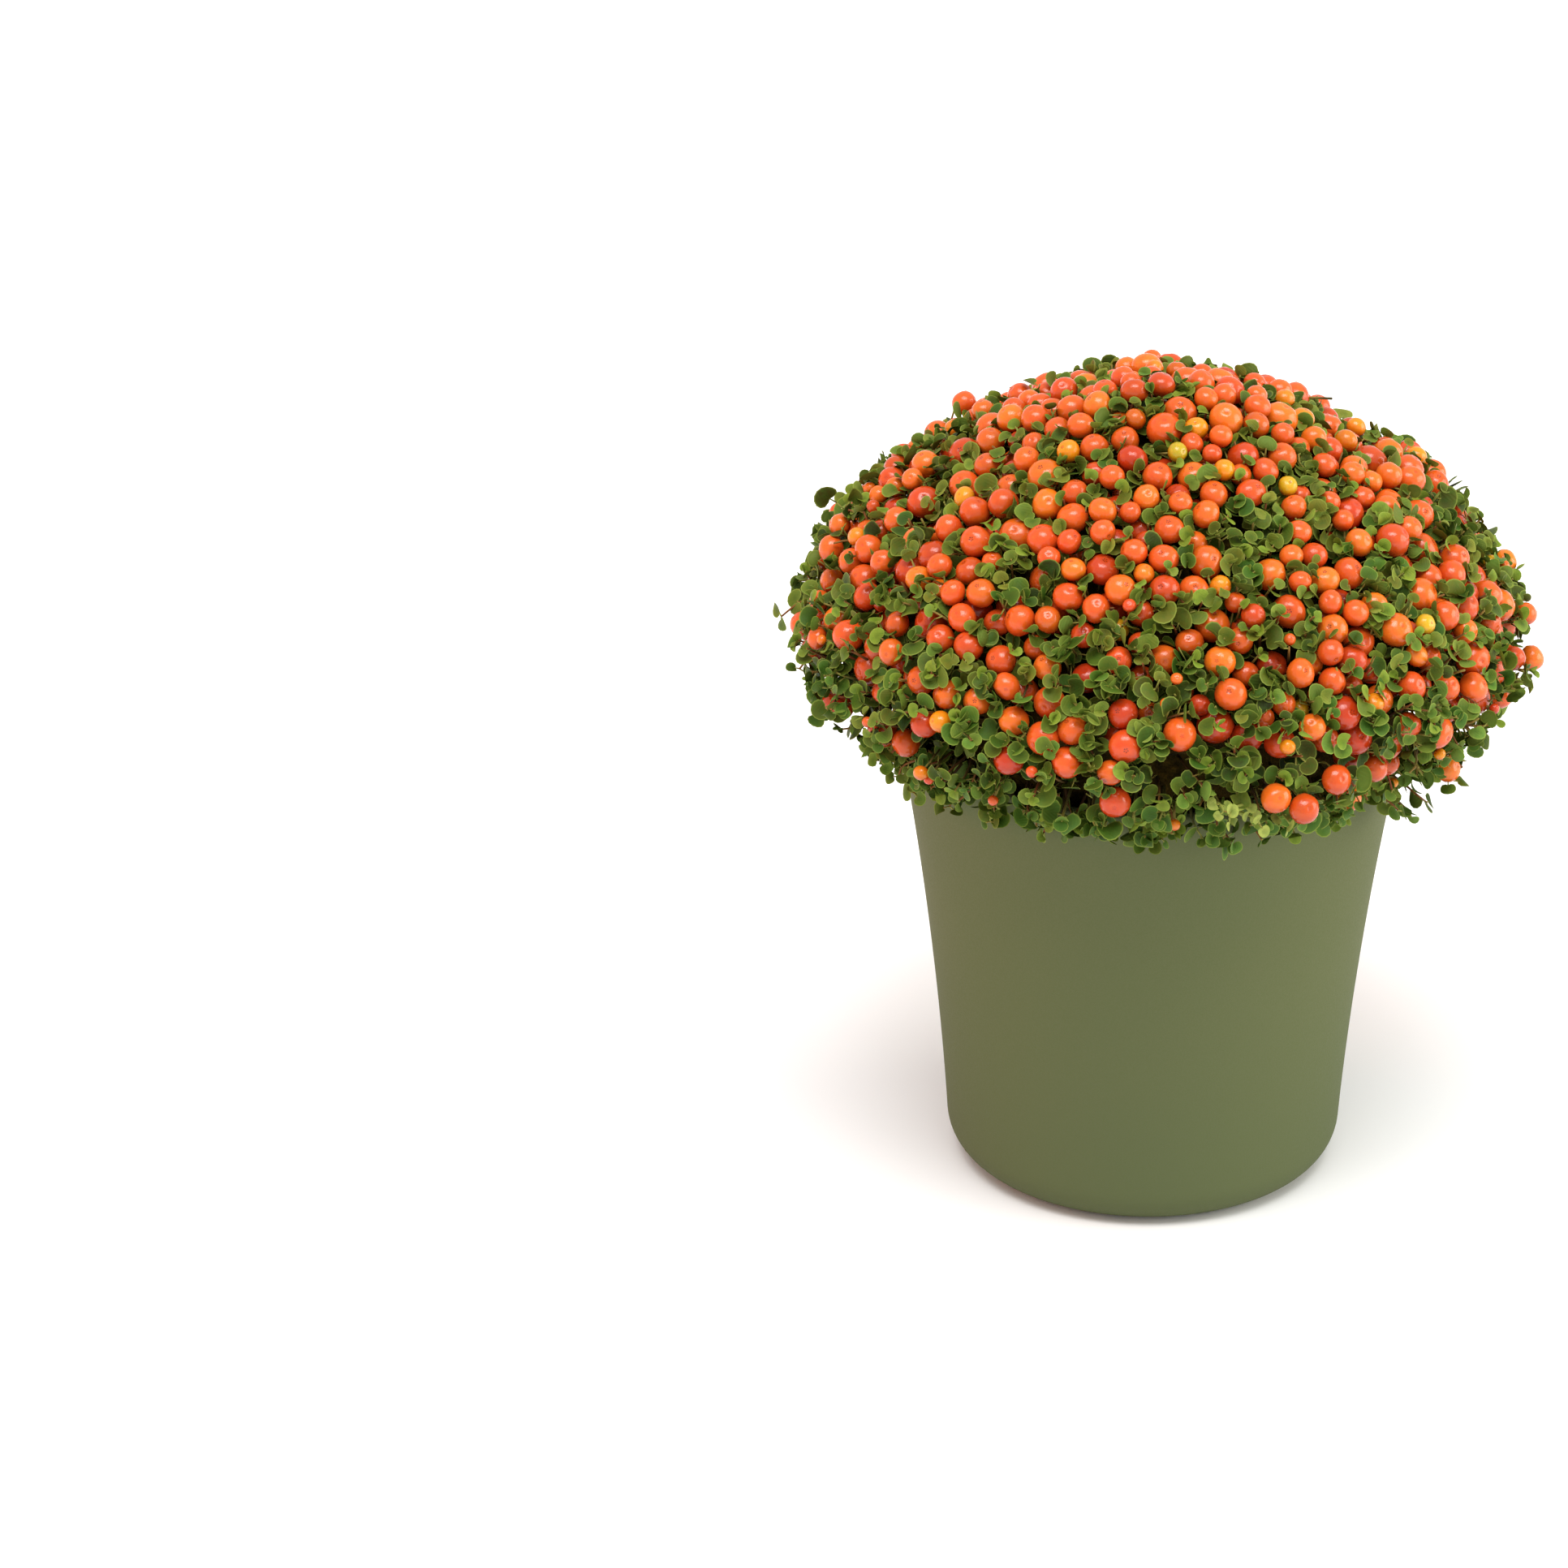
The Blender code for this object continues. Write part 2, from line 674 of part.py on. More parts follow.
    def plant_loose_stem(self, azimuth, root_z, reach, drop, berry):
        """A stem that leaves the cushion's edge, arches and hangs, with leaves and at times a berry."""
        turn = math.radians(azimuth)
        side = Vector((math.cos(turn), math.sin(turn), 0.0))
        tuft, root, _ = self.hit(side, Vector((CUSHION_SHIFT_X, 0.0, root_z)))
        points = []
        for step in range(STEM_STEPS + 1):
            share = step / STEM_STEPS
            along = -STEM_ROOT_DEPTH + share * (reach + STEM_ROOT_DEPTH)
            points.append(root + side * along - UP * drop * share * share)
        self.plant(stem_shape(points, STEM_RADIUS), "stem", "leaf", tuft, [])
        across = side.cross(UP)
        middle = points[STEM_STEPS - 2]
        leaf_out = (UP + across * STEM_LEAF_LEAN).normalized()
        self.plant_leaves(PAIR, middle - leaf_out * LEAF_HEIGHT, leaf_out, tuft, STEM_LEAF_SCALE)
        end_out = (points[-1] - points[-2]).normalized()
        if berry:
            radius = BERRY_RADIUS * STEM_BERRY_SCALE
            centre = points[-1] + end_out * radius * STEM_BERRY_SINK
            shape = berry_shape(radius)
            bmesh.ops.transform(shape, matrix=stand_on(centre, end_out, 0.0), verts=shape.verts)
            self.plant(shape, "berry", "berry", tuft, [(centre, radius, radius)])
        else:
            self.plant_leaves(PAIR, points[-1] - end_out * LEAF_HEIGHT, end_out, tuft, STEM_LEAF_SCALE)

    def build(self):
        """Fuses each core with its roots and with all that was planted on it."""
        names = ["crown_tuft"] + [f"ring_tuft_{index + 1}" for index in range(RING_TUFTS)]
        bottom = soil_top() - PLUG_DEPTH + GAP
        top = soil_top() + GAP + PLUG_OVERLAP
        for name, core, collection, place in zip(names, self.cores, self.collections, plug_places()):
            roots = build_plug(place, PLUG_RADIUS, bottom, top)
            add_object("roots", roots, self.materials["root"], collection)
            tuft = add_object(name, core, self.materials["leaf"])
            apply_boolean(tuft, collection, "UNION")
            keep_one_body(tuft.data)
            for face in tuft.data.polygons:
                face.use_smooth = tuft.data.materials[face.material_index] == self.materials["berry"]


def keep_one_body(mesh):
    """Keeps the largest closed body of a mesh, so that no scrap or sealed hollow is left."""
    shape = bmesh.new()
    shape.from_mesh(mesh)
    bmesh.ops.remove_doubles(shape, verts=shape.verts, dist=MERGE_DISTANCE)
    bmesh.ops.triangulate(shape, faces=shape.faces)
    waiting = set(shape.verts)
    bodies = []
    while waiting:
        front = [waiting.pop()]
        body = set(front)
        while front:
            vert = front.pop()
            for edge in vert.link_edges:
                other = edge.other_vert(vert)
                if other in waiting:
                    waiting.discard(other)
                    body.add(other)
                    front.append(other)
        bodies.append(body)
    largest = max(bodies, key=len)
    loose = [vert for vert in shape.verts if vert not in largest]
    bmesh.ops.delete(shape, geom=loose, context="VERTS")
    shape.to_mesh(mesh)
    shape.free()


def tree_of(thing):
    shape = bmesh.new()
    shape.from_mesh(thing.data)
    tree = BVHTree.FromBMesh(shape)
    shape.free()
    return tree


def main():
    clear_scene()
    materials = {kind: make_material(*values) for kind, values in MATERIALS.items()}
    pot = build_pot(materials["pot"])
    soil = build_soil(materials["soil"])
    cushion = Cushion(materials, [tree_of(pot), tree_of(soil)])
    for stem in LOOSE_STEMS:
        cushion.plant_loose_stem(**stem)
    cushion.scatter(cushion.plant_berry, BERRIES)
    cushion.scatter(cushion.plant_rosette, LEAF_ROSETTES)
    cushion.scatter(cushion.plant_pair, LEAF_PAIRS)
    cushion.build()


main()
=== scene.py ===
"""The look of a coral bead plant in its matt green pot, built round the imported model.

The plant is grown by rule: berries first, then leafy sprigs in the room between them, whose leaves
are laid beside the berries that they touch. Everything is in metres, +Z up, in the frame's own axes.
"""

import math
from dataclasses import dataclass

import bpy
import numpy as np
from mathutils import Matrix, Quaternion, Vector, noise
from mathutils.kdtree import KDTree


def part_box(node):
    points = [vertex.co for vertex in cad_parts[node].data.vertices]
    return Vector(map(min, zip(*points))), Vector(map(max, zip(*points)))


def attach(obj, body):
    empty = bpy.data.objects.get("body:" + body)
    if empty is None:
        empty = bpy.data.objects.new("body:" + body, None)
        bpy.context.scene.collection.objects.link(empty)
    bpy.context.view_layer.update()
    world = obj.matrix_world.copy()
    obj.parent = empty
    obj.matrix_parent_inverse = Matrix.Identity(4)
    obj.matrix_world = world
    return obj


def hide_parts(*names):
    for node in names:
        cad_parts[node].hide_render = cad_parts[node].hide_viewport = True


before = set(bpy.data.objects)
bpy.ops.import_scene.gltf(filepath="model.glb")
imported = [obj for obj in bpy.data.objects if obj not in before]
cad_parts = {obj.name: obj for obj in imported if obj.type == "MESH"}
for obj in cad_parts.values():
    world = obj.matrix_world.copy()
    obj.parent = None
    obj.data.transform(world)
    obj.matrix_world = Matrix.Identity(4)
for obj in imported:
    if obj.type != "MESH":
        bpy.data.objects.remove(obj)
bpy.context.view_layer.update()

SEED = 33
UP = Vector((0.0, 0.0, 1.0))
FULL_TURN = 2 * math.pi
RING_TUFTS = 6
TUFTS = ["crown"] + [f"ring_{index + 1}" for index in range(RING_TUFTS)]

# Pot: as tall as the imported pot's box. The outer wall's radius at height z is
# FOOT_RADIUS + WALL_SLOPE * z + WALL_FLARE * z * z
POT_LOW, POT_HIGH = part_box("pot")
POT_HEIGHT = POT_HIGH.z - POT_LOW.z
FOOT_RADIUS = 0.0482
WALL_SLOPE = 0.0586
WALL_FLARE = 0.536
FOOT_ROUNDING = 0.0106
WALL_THICKNESS = 0.0025
FLOOR_THICKNESS = 0.003
INNER_ROUNDING = 0.008
POT_SIDES = 192
FOOT_STEPS = 14
OUTER_WALL_STEPS = 20
RIM_STEPS = 10
INNER_WALL_STEPS = 16
INNER_FOOT_STEPS = 8
POT_SHARP_ANGLE = 40
GAP = 0.0003

# Soil: up to the top of the packed soil's box
SOIL_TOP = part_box("soil")[1].z
SOIL_SIDES = 96
SOIL_RINGS = 30
SOIL_WALL_STEPS = 10
SOIL_FOOT_STEPS = 4
SOIL_LUMP = 0.0009
SOIL_LUMP_SIZE = 0.004
SOIL_SHARP_ANGLE = 60

# Outer surface of the cushion: above its widest height, and below it down to the lip
CUSHION_RADIUS = 0.0892
CUSHION_WIDEST_Z = 0.139
CUSHION_TOP_Z = 0.2080
SHOULDER_POWER = 1.5
LIP_RADIUS = 0.0660
LIP_POWER = 1.85
LIP_Z_SIDE = 0.1180
LIP_Z_FRONT = 0.1125
CUSHION_SHIFT_X = 0.0015
CUSHION_MIDDLE_Z = 0.12
CUSHION_STEPS = 240
CROWN_RADIUS = 0.0340

# Unevenness of that surface: broad clumps, knobs, and some places that stand out or lie back.
# Azimuths are in degrees, from +X on towards +Y, and the rest is in metres
CLUMP_HEIGHT = 0.0030
CLUMP_SIZE = 0.034
KNOB_HEIGHT = 0.0014
KNOB_SIZE = 0.013
KNOB_SHIFT = Vector((5.0, 5.0, 5.0))
BULGES = (  # azimuth, z, size and how far it stands out
    (2, 0.148, 0.026, 0.0012),
    (150, 0.183, 0.016, -0.0006),
    (165, 0.162, 0.018, 0.0026),
    (26, 0.170, 0.012, 0.0016),
    (36, 0.180, 0.010, -0.0026),
    (41, 0.189, 0.009, 0.0016),
    (70, 0.208, 0.022, 0.0012),
    (-8, 0.138, 0.014, 0.0028),
)

# Berries: their sizes, and how many are thrown in two layers of strips from the top to the lip
BERRY_RADIUS = 0.00364
BERRY_SPREAD = 0.00046
SMALLEST_BERRY = 0.0025
LARGEST_BERRY = 0.0044
UNRIPE_BERRY = 0.0028
UNRIPE_SIZES = (0.85, 1.1)
RIPE_FROM = 0.6
BERRY_TRIES = 40000
BERRY_TOUCH = 0.98
BERRY_STRIPS = 25
BERRY_LAST_SHARE = 0.97
BERRY_SHARES = (0.0, 0.13, 0.30, 0.55, 0.80, 1.0)
BERRY_LAYERS = (  # depth, its spread, and the room for one berry at BERRY_SHARES
    (0.0, 0.0023, (62e-6, 66e-6, 77e-6, 110e-6, 460e-6, 1400e-6)),
    (0.0034, 0.0020, (80e-6, 80e-6, 90e-6, 122e-6, 600e-6, 1400e-6)),
)

# Near the top the berries stand a little proud of the leaves
PROUD_SHARES = (0.25, 0.55)
PROUD = (0.0007, 0.0)

# Where berries are likelier or rarer: in clusters, right beside others, and round some places
BESIDE_ANOTHER = 0.60
BESIDE_GAPS = (1.00, 1.14)
BERRY_CLUSTER = 0.014
BERRY_CLUSTERING = 1.9
BERRY_LIKELY = 0.6
BERRY_PATCHES = (  # azimuth, z, size and how much likelier a berry is there
    (-34, 0.131, 0.026, 1.2),
    (-145, 0.132, 0.020, -0.7),
    (-112, 0.122, 0.021, -0.9),
    (-80, 0.123, 0.023, -1.0),
    (-92, 0.154, 0.018, 0.90),
    (-30, 0.122, 0.020, 1.2),
    (-158, 0.124, 0.018, -0.4),
    (-146, 0.158, 0.020, 0.4),
)

# Ripeness of four kinds of berry, from coral to green, and how common each is, then how berries lean
# and how dark a red each gets, at random and by depth as painted shade, and the small young ones
BERRY_KINDS = (0.88, 0.70, 0.46, 0.20)
BERRY_KIND_SHARES = (0.65, 0.30, 0.035, 0.015)
BERRY_KIND_SPREAD = 0.05
BERRY_TILT = 0.45
BERRY_LIFT = 0.15
BERRY_SHADE = (1.1, 3.2)
PAINTED_SHADE_BY_DEPTH = 80
CALYX_KEPT = 0.35
CALYX_STRONG = 0.9
CALYX_FAINT = 0.2
YOUNG_BERRIES = 44
YOUNG_RADII = (0.0012, 0.0020)
YOUNG_SHARES = (0.25, 0.99)
YOUNG_DEPTHS = (0.0, 0.0016)

# A berry's shape: rings at these angles from its free end, a dimple there, and its stalk
BERRY_SIDES = 14
BERRY_RINGS = (6, 12, 20, 36, 54, 72, 90, 110, 135, 160)
BERRY_SQUASH = 0.94
BERRY_STRETCH = 0.035
BERRY_WAVE = 0.02
WAVE_TURN = 2.5
DIMPLE_DEPTH = 0.10
DIMPLE_WIDTH = 13
STALK_LENGTH = 0.006
STALK_RADIUS = 0.00028

# A leaf: its length and thickness, and its shape for a length of 1, with a notch at its base
LEAF_LENGTH = 0.0045
LEAF_HALF_WIDTH = 0.58
LEAF_NOTCH = 0.50
LEAF_NOTCH_WIDTH = 0.60
LEAF_BASE = 0.27
LEAF_OUTER_POINTS = 14
LEAF_INNER_SHARE = 0.58
LEAF_THICKNESS = 0.00030
LEAF_SHARP_ANGLE = 50

# How leaves vary: mean and spread of their curl, cup and twist, and spreads of rise, roll and length
SPRIG_BENDS = ((-0.45, 0.75), (0.75, 0.75), (0.0, 0.25))
OLD_LEAF_BENDS = ((-0.4, 0.7), (0.6, 0.7), (0.0, 0.25))
LOOSE_BENDS = ((-0.5, 0.7), (0.6, 0.6), (0.0, 0.25))
RISE_SPREAD = 20
ROLL_SPREAD = 0.45
LENGTH_SPREAD = 0.10

# How leaves give way to berries, and which of those that hide one stay
LEAF_CLEARANCE = 0.00022
LEAF_OVER_BERRY = 0.90
MOST_COVER = 0.50
KEPT_COVERS = 0.34
SETTLE_STEPS = 3
PUSH_STEPS = 2
FARTHEST_MOVE = 0.0024

# Sprigs over the cushion. Those at GAP_SHARES of the way to the lip are left out by GAP_CHANCES
SPRIGS = 1450
SPRIG_SHUFFLE = 6.0
SPRIG_STRAY = 0.35
STRAY_RADIUS = 0.07
SPRIG_TILT = 0.45
SPRIG_RISE = 0.30
ROOT_SPREAD = 0.0012
TIP_SHARES = (0.0, 0.3, 0.7, 1.0)
TIP_DEPTHS = (0.0030, 0.0018, 0.0010, 0.0008)
TIP_SPREAD = 0.0014
GAP_SHARES = (0.58, 0.70, 0.90, 0.94)
GAP_CHANCES = (0.0, 0.44, 0.44, 0.0)
LOOSE_FROM = 0.68
HUE_SHARES = (0.0, 0.45, 0.75, 1.0)
HUES = (0.74, 0.60, 0.16, 0.0)
HUE_SPREAD = 0.26
FRESH_SPRIGS = 0.22

# A sprig: its length, and for each of its pairs of leaves from the tip on, the pair's place, size,
# rise in degrees, length of leaf stalks and share of fresh green
SPRIG_DEPTH = 0.0100
SPRIG_STEPS = 5
NODE_PLACES = (0.0005, 0.0027, 0.0054)
NODE_SIZES = (0.70, 1.00, 1.05)
NODE_RISES = (42, 16, 2)
NODE_PETIOLES = (0.0006, 0.0016, 0.0023)
NODE_FRESH = (1.0, 0.45, 0.1)
STEM_RADIUS = 0.00034
PETIOLE_RADIUS = 0.00024
PETIOLE_LIFT = 0.3
PETIOLE_OVERLAP = 0.06
TIP_NEAR_BERRY = 0.0006
TIP_BESIDE_BERRY = 0.0008

# Older leaves deep in the cushion, painted dark partly for age and partly as shade; less deep and with
# less painted shade near its top
OLD_LEAVES = 1400
OLD_LEAF_DEPTHS = (0.0070, 0.0115)
OLD_LEAF_SHARES = (0.35, 0.65)
OLD_LEAF_RISES = (0.0025, 0.0)
OLD_LEAF_PAINTED_LIGHTENING = (0.25, 0.0)
OLD_GAP_SHARES = (0.60, 0.72)
OLD_GAP_CHANCES = (0.0, 0.35)

# Loose stems, single berries on long stalks and pale young sprigs, by the places of their ends
PATH_STEPS = 9
PATH_INSIDE = 0.012
PATH_SWAY = 0.0014
PATH_BOW = 0.0020
HANG = 0.006
FIRST_PAIR = 0.35
PALE_SIZE = 0.72
PALE_FRESH = 1.25
PALE_RISE = 0.004
PALE_INSIDE = 0.004
STRAGGLERS = (  # azimuth, radius, z, pairs of leaves and their size
    (-12, 0.0810, 0.1200, 5, 1.05),
    (-16, 0.0790, 0.1160, 5, 0.95),
    (-20, 0.0770, 0.1145, 5, 1.05),
    (-24, 0.0735, 0.1100, 5, 1.05),
    (-30, 0.0715, 0.1080, 5, 1.00),
    (-34, 0.0720, 0.1120, 5, 1.05),
    (-6, 0.0800, 0.1240, 5, 1.05),
    (0, 0.0840, 0.1280, 5, 1.05),
    (12, 0.0930, 0.1370, 3, 0.90),
    (98, 0.0860, 0.1210, 5, 0.90),
    (186, 0.0860, 0.1310, 4, 0.85),
    (190, 0.0815, 0.1220, 4, 1.00),
    (181, 0.0905, 0.1420, 3, 1.00),
)
LOOSE_BERRIES = (  # azimuth, radius, z and the berry's own radius
    (-17, 0.0800, 0.1185, 0.0031),
    (-21, 0.0765, 0.1170, 0.0033),
    (0, 0.0905, 0.1465, 0.0028),
    (3, 0.0925, 0.1330, 0.0031),
    (9, 0.0870, 0.1530, 0.0030),
    (138, 0.0665, 0.1800, 0.0030),
    (141, 0.0620, 0.1822, 0.0031),
    (-69.5, 0.0868, 0.1340, 0.0036),
    (-66, 0.0885, 0.1310, 0.0036),
    (-60, 0.0870, 0.1362, 0.0036),
)
PALE_SPRIGS = (  # azimuth, radius and z
    (-79, 0.0900, 0.1335),
    (-76, 0.0905, 0.1325),
    (-73, 0.0890, 0.1290),
    (-68, 0.0885, 0.1275),
)

# What sprouts at the lip: sprigs all round, more of them in one thicket, and nearly bare runners
LIP_SPRIGS = 40
LIP_SPRIG_HEIGHTS = (0.1120, 0.1240)
LIP_RUNNERS = 14
RUNNER_HEIGHTS = (0.1130, 0.1190)
RUNNER_SWEEPS = (9, 20)
RUNNER_STEPS = 9
THICKET_SPRIGS = 12
THICKET_AZIMUTHS = (-152, -106)
THICKET_HEIGHTS = (0.1170, 0.1270)

# Old growth inside the cushion, this far below its outer surface, and the neck that stands in the pot
MAT_DEPTH = 0.0120
MAT_DEPTH_LOW = 0.0210
MAT_SHARES = (0.55, 0.75, 0.93, 1.0)
MAT_DEPTHS = (MAT_DEPTH, MAT_DEPTH_LOW, MAT_DEPTH_LOW, MAT_DEPTH)
MAT_STEPS = 26
MAT_CROWN_STEPS = 8
MAT_SWEEP = 22
NECK_RADIUS = 0.0580
NECK_LOW_RADIUS = 0.0575
NECK_ABOVE_POT = 0.0015

# Camera: where it stands, how far it looks down and turns to the left, and its lens in millimetres
CAMERA_PLACE = (0.0, -1.76893, 0.93321)
CAMERA_DOWN = 25.289
CAMERA_TURN = 2.909
CAMERA_LENS = 182.6
SENSOR_WIDTH = 36.0

# Floor and lights
FLOOR_SIZE = 6.0
SKY_STRENGTH = 0.80
WHITE = (1.0, 1.0, 1.0)
LAMPS = (  # name, azimuth, elevation, power, spread and tint
    ("key", -54, 67, 0.90, 26, WHITE),
    ("key", -90, 67, 0.90, 26, WHITE),
    ("key", -126, 67, 0.90, 26, WHITE),
    ("right_fill", -2, 10, 2.50, 50, (1.0, 0.94, 0.84)),
    ("left_fill", 182, 8, 1.30, 50, (1.0, 0.20, 0.0)),
)


def random_stream(index):
    """A generator of its own for each kind of thing, so that a change in one leaves the others alone."""
    return np.random.default_rng(SEED * 1000 + index)


def noise_at(points, size):
    """Smooth noise from about -1 to 1 at each point."""
    return np.array([noise.noise(Vector(point) / size) for point in points])


def make_mesh(points, faces, values=None):
    """A mesh from points, faces and values given to its points, by attribute name."""
    mesh = bpy.data.meshes.new("mesh")
    mesh.from_pydata(np.asarray(points, float).tolist(), [], [list(face) for face in faces])
    for key, data in (values or {}).items():
        data = np.asarray(data, np.float32)
        kind, field = ("FLOAT", "value") if data.ndim == 1 else ("FLOAT_VECTOR", "vector")
        mesh.attributes.new(key, kind, "POINT").data.foreach_set(field, data.ravel())
    mesh.update()
    return mesh


def add_piece(name, mesh, material, nodes, sharp_angle=None):
    """Links a piece, gives it its finish, hangs it on the root body and hides the imported nodes that it
    stands for.
    """
    mesh.name = name
    mesh.materials.append(material)
    mesh.shade_smooth()
    if sharp_angle is not None:
        mesh.set_sharp_from_angle(angle=math.radians(sharp_angle))
    piece = bpy.data.objects.new(name, mesh)
    bpy.context.scene.collection.objects.link(piece)
    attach(piece, "root")
    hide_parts(*nodes)


def add_tuft_piece(tuft, kind, mesh, material, sharp_angle=None):
    """One of the pieces that a tuft is made of. It stands for the tuft's node."""
    node = "crown_tuft" if tuft == TUFTS[0] else "ring_tuft_" + tuft[-1]
    add_piece(f"{tuft}_{kind}", mesh, material, [node], sharp_angle)


class Parts:
    """Collects many small shapes into one mesh."""

    def __init__(self):
        self.points = []
        self.faces = []
        self.values = {}
        self.count = 0

    def add(self, points, faces, **values):
        self.points.append(points)
        self.faces.append(np.asarray(faces) + self.count)
        for key, data in values.items():
            self.values.setdefault(key, []).append(data)
        self.count += len(points)

    def mesh(self):
        points = np.concatenate(self.points)
        faces = [face for block in self.faces for face in block.tolist()]
        values = {key: np.concatenate(blocks) for key, blocks in self.values.items()}
        return make_mesh(points, faces, values)


class Nodes:
    """A short way to write a material's nodes."""

    def __init__(self, name):
        self.material = bpy.data.materials.new(name)
        self.material.use_nodes = True
        self.tree = self.material.node_tree
        self.shader = self.tree.nodes["Principled BSDF"]

    def new(self, kind, values=None, **settings):
        """A node with these settings, and with values or links for its inputs by name or number."""
        node = self.tree.nodes.new(kind)
        for key, setting in settings.items():
            setattr(node, key, setting)
        for key, value in (values or {}).items():
            self.feed(node.inputs[key], value)
        return node

    def feed(self, socket, value):
        if isinstance(value, bpy.types.NodeSocket):
            self.tree.links.new(value, socket)
        else:
            socket.default_value = value

    def place(self):
        """The place on the piece, in metres."""
        return self.new("ShaderNodeTexCoord").outputs["Object"]

    def attribute(self, name, output="Fac"):
        return self.new("ShaderNodeAttribute", attribute_name=name).outputs[output]

    def split(self, vector):
        return self.new("ShaderNodeSeparateXYZ", {0: vector}).outputs

    def math(self, operation, *values):
        return self.new("ShaderNodeMath", dict(enumerate(values)), operation=operation).outputs[0]

    def plus(self, first, second):
        return self.math("ADD", first, second)

    def times(self, first, *others):
        for other in others:
            first = self.math("MULTIPLY", first, other)
        return first

    def varied(self, value, field, amount):
        """A value that a noise field moves up and down."""
        return self.plus(value, self.times(self.math("SUBTRACT", field, 0.5), amount))

    def range(self, value, low, high, to_low=0.0, to_high=1.0):
        """A smooth change from to_low to to_high while the value goes from low to high."""
        values = dict(enumerate((value, low, high, to_low, to_high)))
        return self.new("ShaderNodeMapRange", values, interpolation_type="SMOOTHSTEP").outputs[0]

    def mix(self, share, first, second):
        node = self.new("ShaderNodeMix", {0: share}, data_type="RGBA")
        colours = [socket for socket in node.inputs if socket.type == "RGBA"]
        for socket, colour in zip(colours, (first, second)):
            self.feed(socket, colour if isinstance(colour, bpy.types.NodeSocket) else (*colour, 1.0))
        return [socket for socket in node.outputs if socket.type == "RGBA"][0]

    def ramp(self, value, *stops):
        """A colour for each value, from stops of a place and its colour's 0 to 255 values."""
        node = self.new("ShaderNodeValToRGB", {0: value})
        elements = node.color_ramp.elements
        while len(elements) < len(stops):
            elements.new(0.5)
        for element, (place, *shades) in zip(elements, stops):
            element.position = place
            element.color = (*colour(*shades), 1.0)
        return node.outputs["Color"]

    def noise(self, scale, detail=3.0, vector=None, roughness=0.5):
        values = {"Vector": vector or self.place(), "Scale": scale, "Detail": detail}
        return self.new("ShaderNodeTexNoise", {**values, "Roughness": roughness}).outputs["Fac"]

    def bump(self, height, distance, strength=1.0):
        values = {"Strength": strength, "Distance": distance, "Height": height}
        self.feed(self.shader.inputs["Normal"], self.new("ShaderNodeBump", values).outputs["Normal"])

    def set(self, **values):
        for key, value in values.items():
            self.feed(self.shader.inputs[key.replace("_", " ")], value)


def colour(red, green, blue):
    """A linear colour from the 0 to 255 values seen on a screen."""
    shares = (value / 255 for value in (red, green, blue))
    return tuple(s / 12.92 if s <= 0.04045 else ((s + 0.055) / 1.055) ** 2.4 for s in shares)


def pot_material():
    n = Nodes("pot_matt_green")
    broad = n.noise(9.0, 2.0)
    fine = n.noise(2600.0, 2.0)
    base = n.mix(n.range(broad, 0.35, 0.65), colour(90, 97, 65), colour(94, 99, 67))
    # Painted shade: the pot's colour goes darker towards its foot.
    height = n.split(n.place())[2]
    base = n.mix(n.range(height, 0.010, 0.090, 0.90, 0.0), base, colour(84, 92, 62))
    speck = n.mix(n.range(fine, 0.30, 0.70, 0.0, 0.35), base, colour(84, 93, 58))
    n.set(Base_Color=speck, Roughness=n.range(fine, 0.3, 0.7, 0.62, 0.74), Specular_IOR_Level=0.07)
    n.bump(fine, 0.00004, 0.5)
    return n.material


def soil_material():
    n = Nodes("potting_soil")
    grain = n.noise(900.0, 5.0, roughness=0.65)
    base = n.ramp(grain, (0.3, 28, 20, 14), (0.55, 62, 45, 32), (0.75, 104, 84, 62))
    n.set(Base_Color=base, Roughness=0.95)
    n.bump(grain, 0.0006)
    return n.material


def mat_material():
    n = Nodes("old_growth")
    tangle = n.noise(420.0, 4.0, roughness=0.6)
    base = n.ramp(tangle, (0.35, 28, 22, 3), (0.6, 52, 40, 8), (0.8, 86, 66, 20))
    n.set(Base_Color=base, Roughness=0.9, Specular_IOR_Level=0.05)
    n.bump(tangle, 0.0012)
    return n.material


def leaf_material():
    """Green blades with a paler margin. leaf_place is (along, across, edge), leaf_tone is (shade,
    freshness, hue) and leaf_under is 1 on the underside."""
    n = Nodes("leaf_green")
    along, across, edge = n.split(n.attribute("leaf_place", "Vector"))
    shade, fresh, hue = n.split(n.attribute("leaf_tone", "Vector"))
    green = n.ramp(shade, (0.0, 23, 38, 5), (0.35, 49, 80, 18), (0.7, 70, 104, 30), (1.0, 93, 127, 45))
    olive = n.ramp(shade, (0.0, 46, 40, 9), (0.35, 82, 84, 22), (0.7, 106, 106, 33), (1.0, 128, 127, 46))
    mottle = n.noise(700.0, 3.0)
    base = n.mix(hue, green, olive)
    base = n.mix(n.range(fresh, 0.25, 1.0, 0.0, 0.75), base, colour(122, 142, 42))
    base = n.mix(n.range(fresh, 1.0, 1.5, 0.0, 0.80), base, colour(172, 170, 98))
    base = n.mix(n.range(mottle, 0.4, 0.7, 0.0, 0.30), base, colour(54, 98, 27))
    # Painted shade: each blade is darker towards its middle, as shade in its cup.
    base = n.mix(n.range(edge, 0.0, 0.85, 0.36, 0.0), base, colour(38, 62, 10))
    base = n.mix(n.range(edge, 0.84, 1.0, 0.0, 0.62), base, colour(142, 156, 64))
    base = n.mix(n.times(n.attribute("leaf_under"), 0.40), base, colour(111, 132, 56))
    n.set(Base_Color=base, Roughness=0.56, Specular_IOR_Level=0.12)
    place = n.new("ShaderNodeCombineXYZ", {0: along, 1: n.math("ABSOLUTE", across)})
    veins = n.new("ShaderNodeTexWave", {"Vector": place.outputs[0], "Scale": 2.2},
                  wave_type="BANDS", bands_direction="DIAGONAL")
    n.bump(n.plus(veins.outputs["Fac"], n.times(mottle, 1.5)), 0.00005, 0.5)
    return n.material


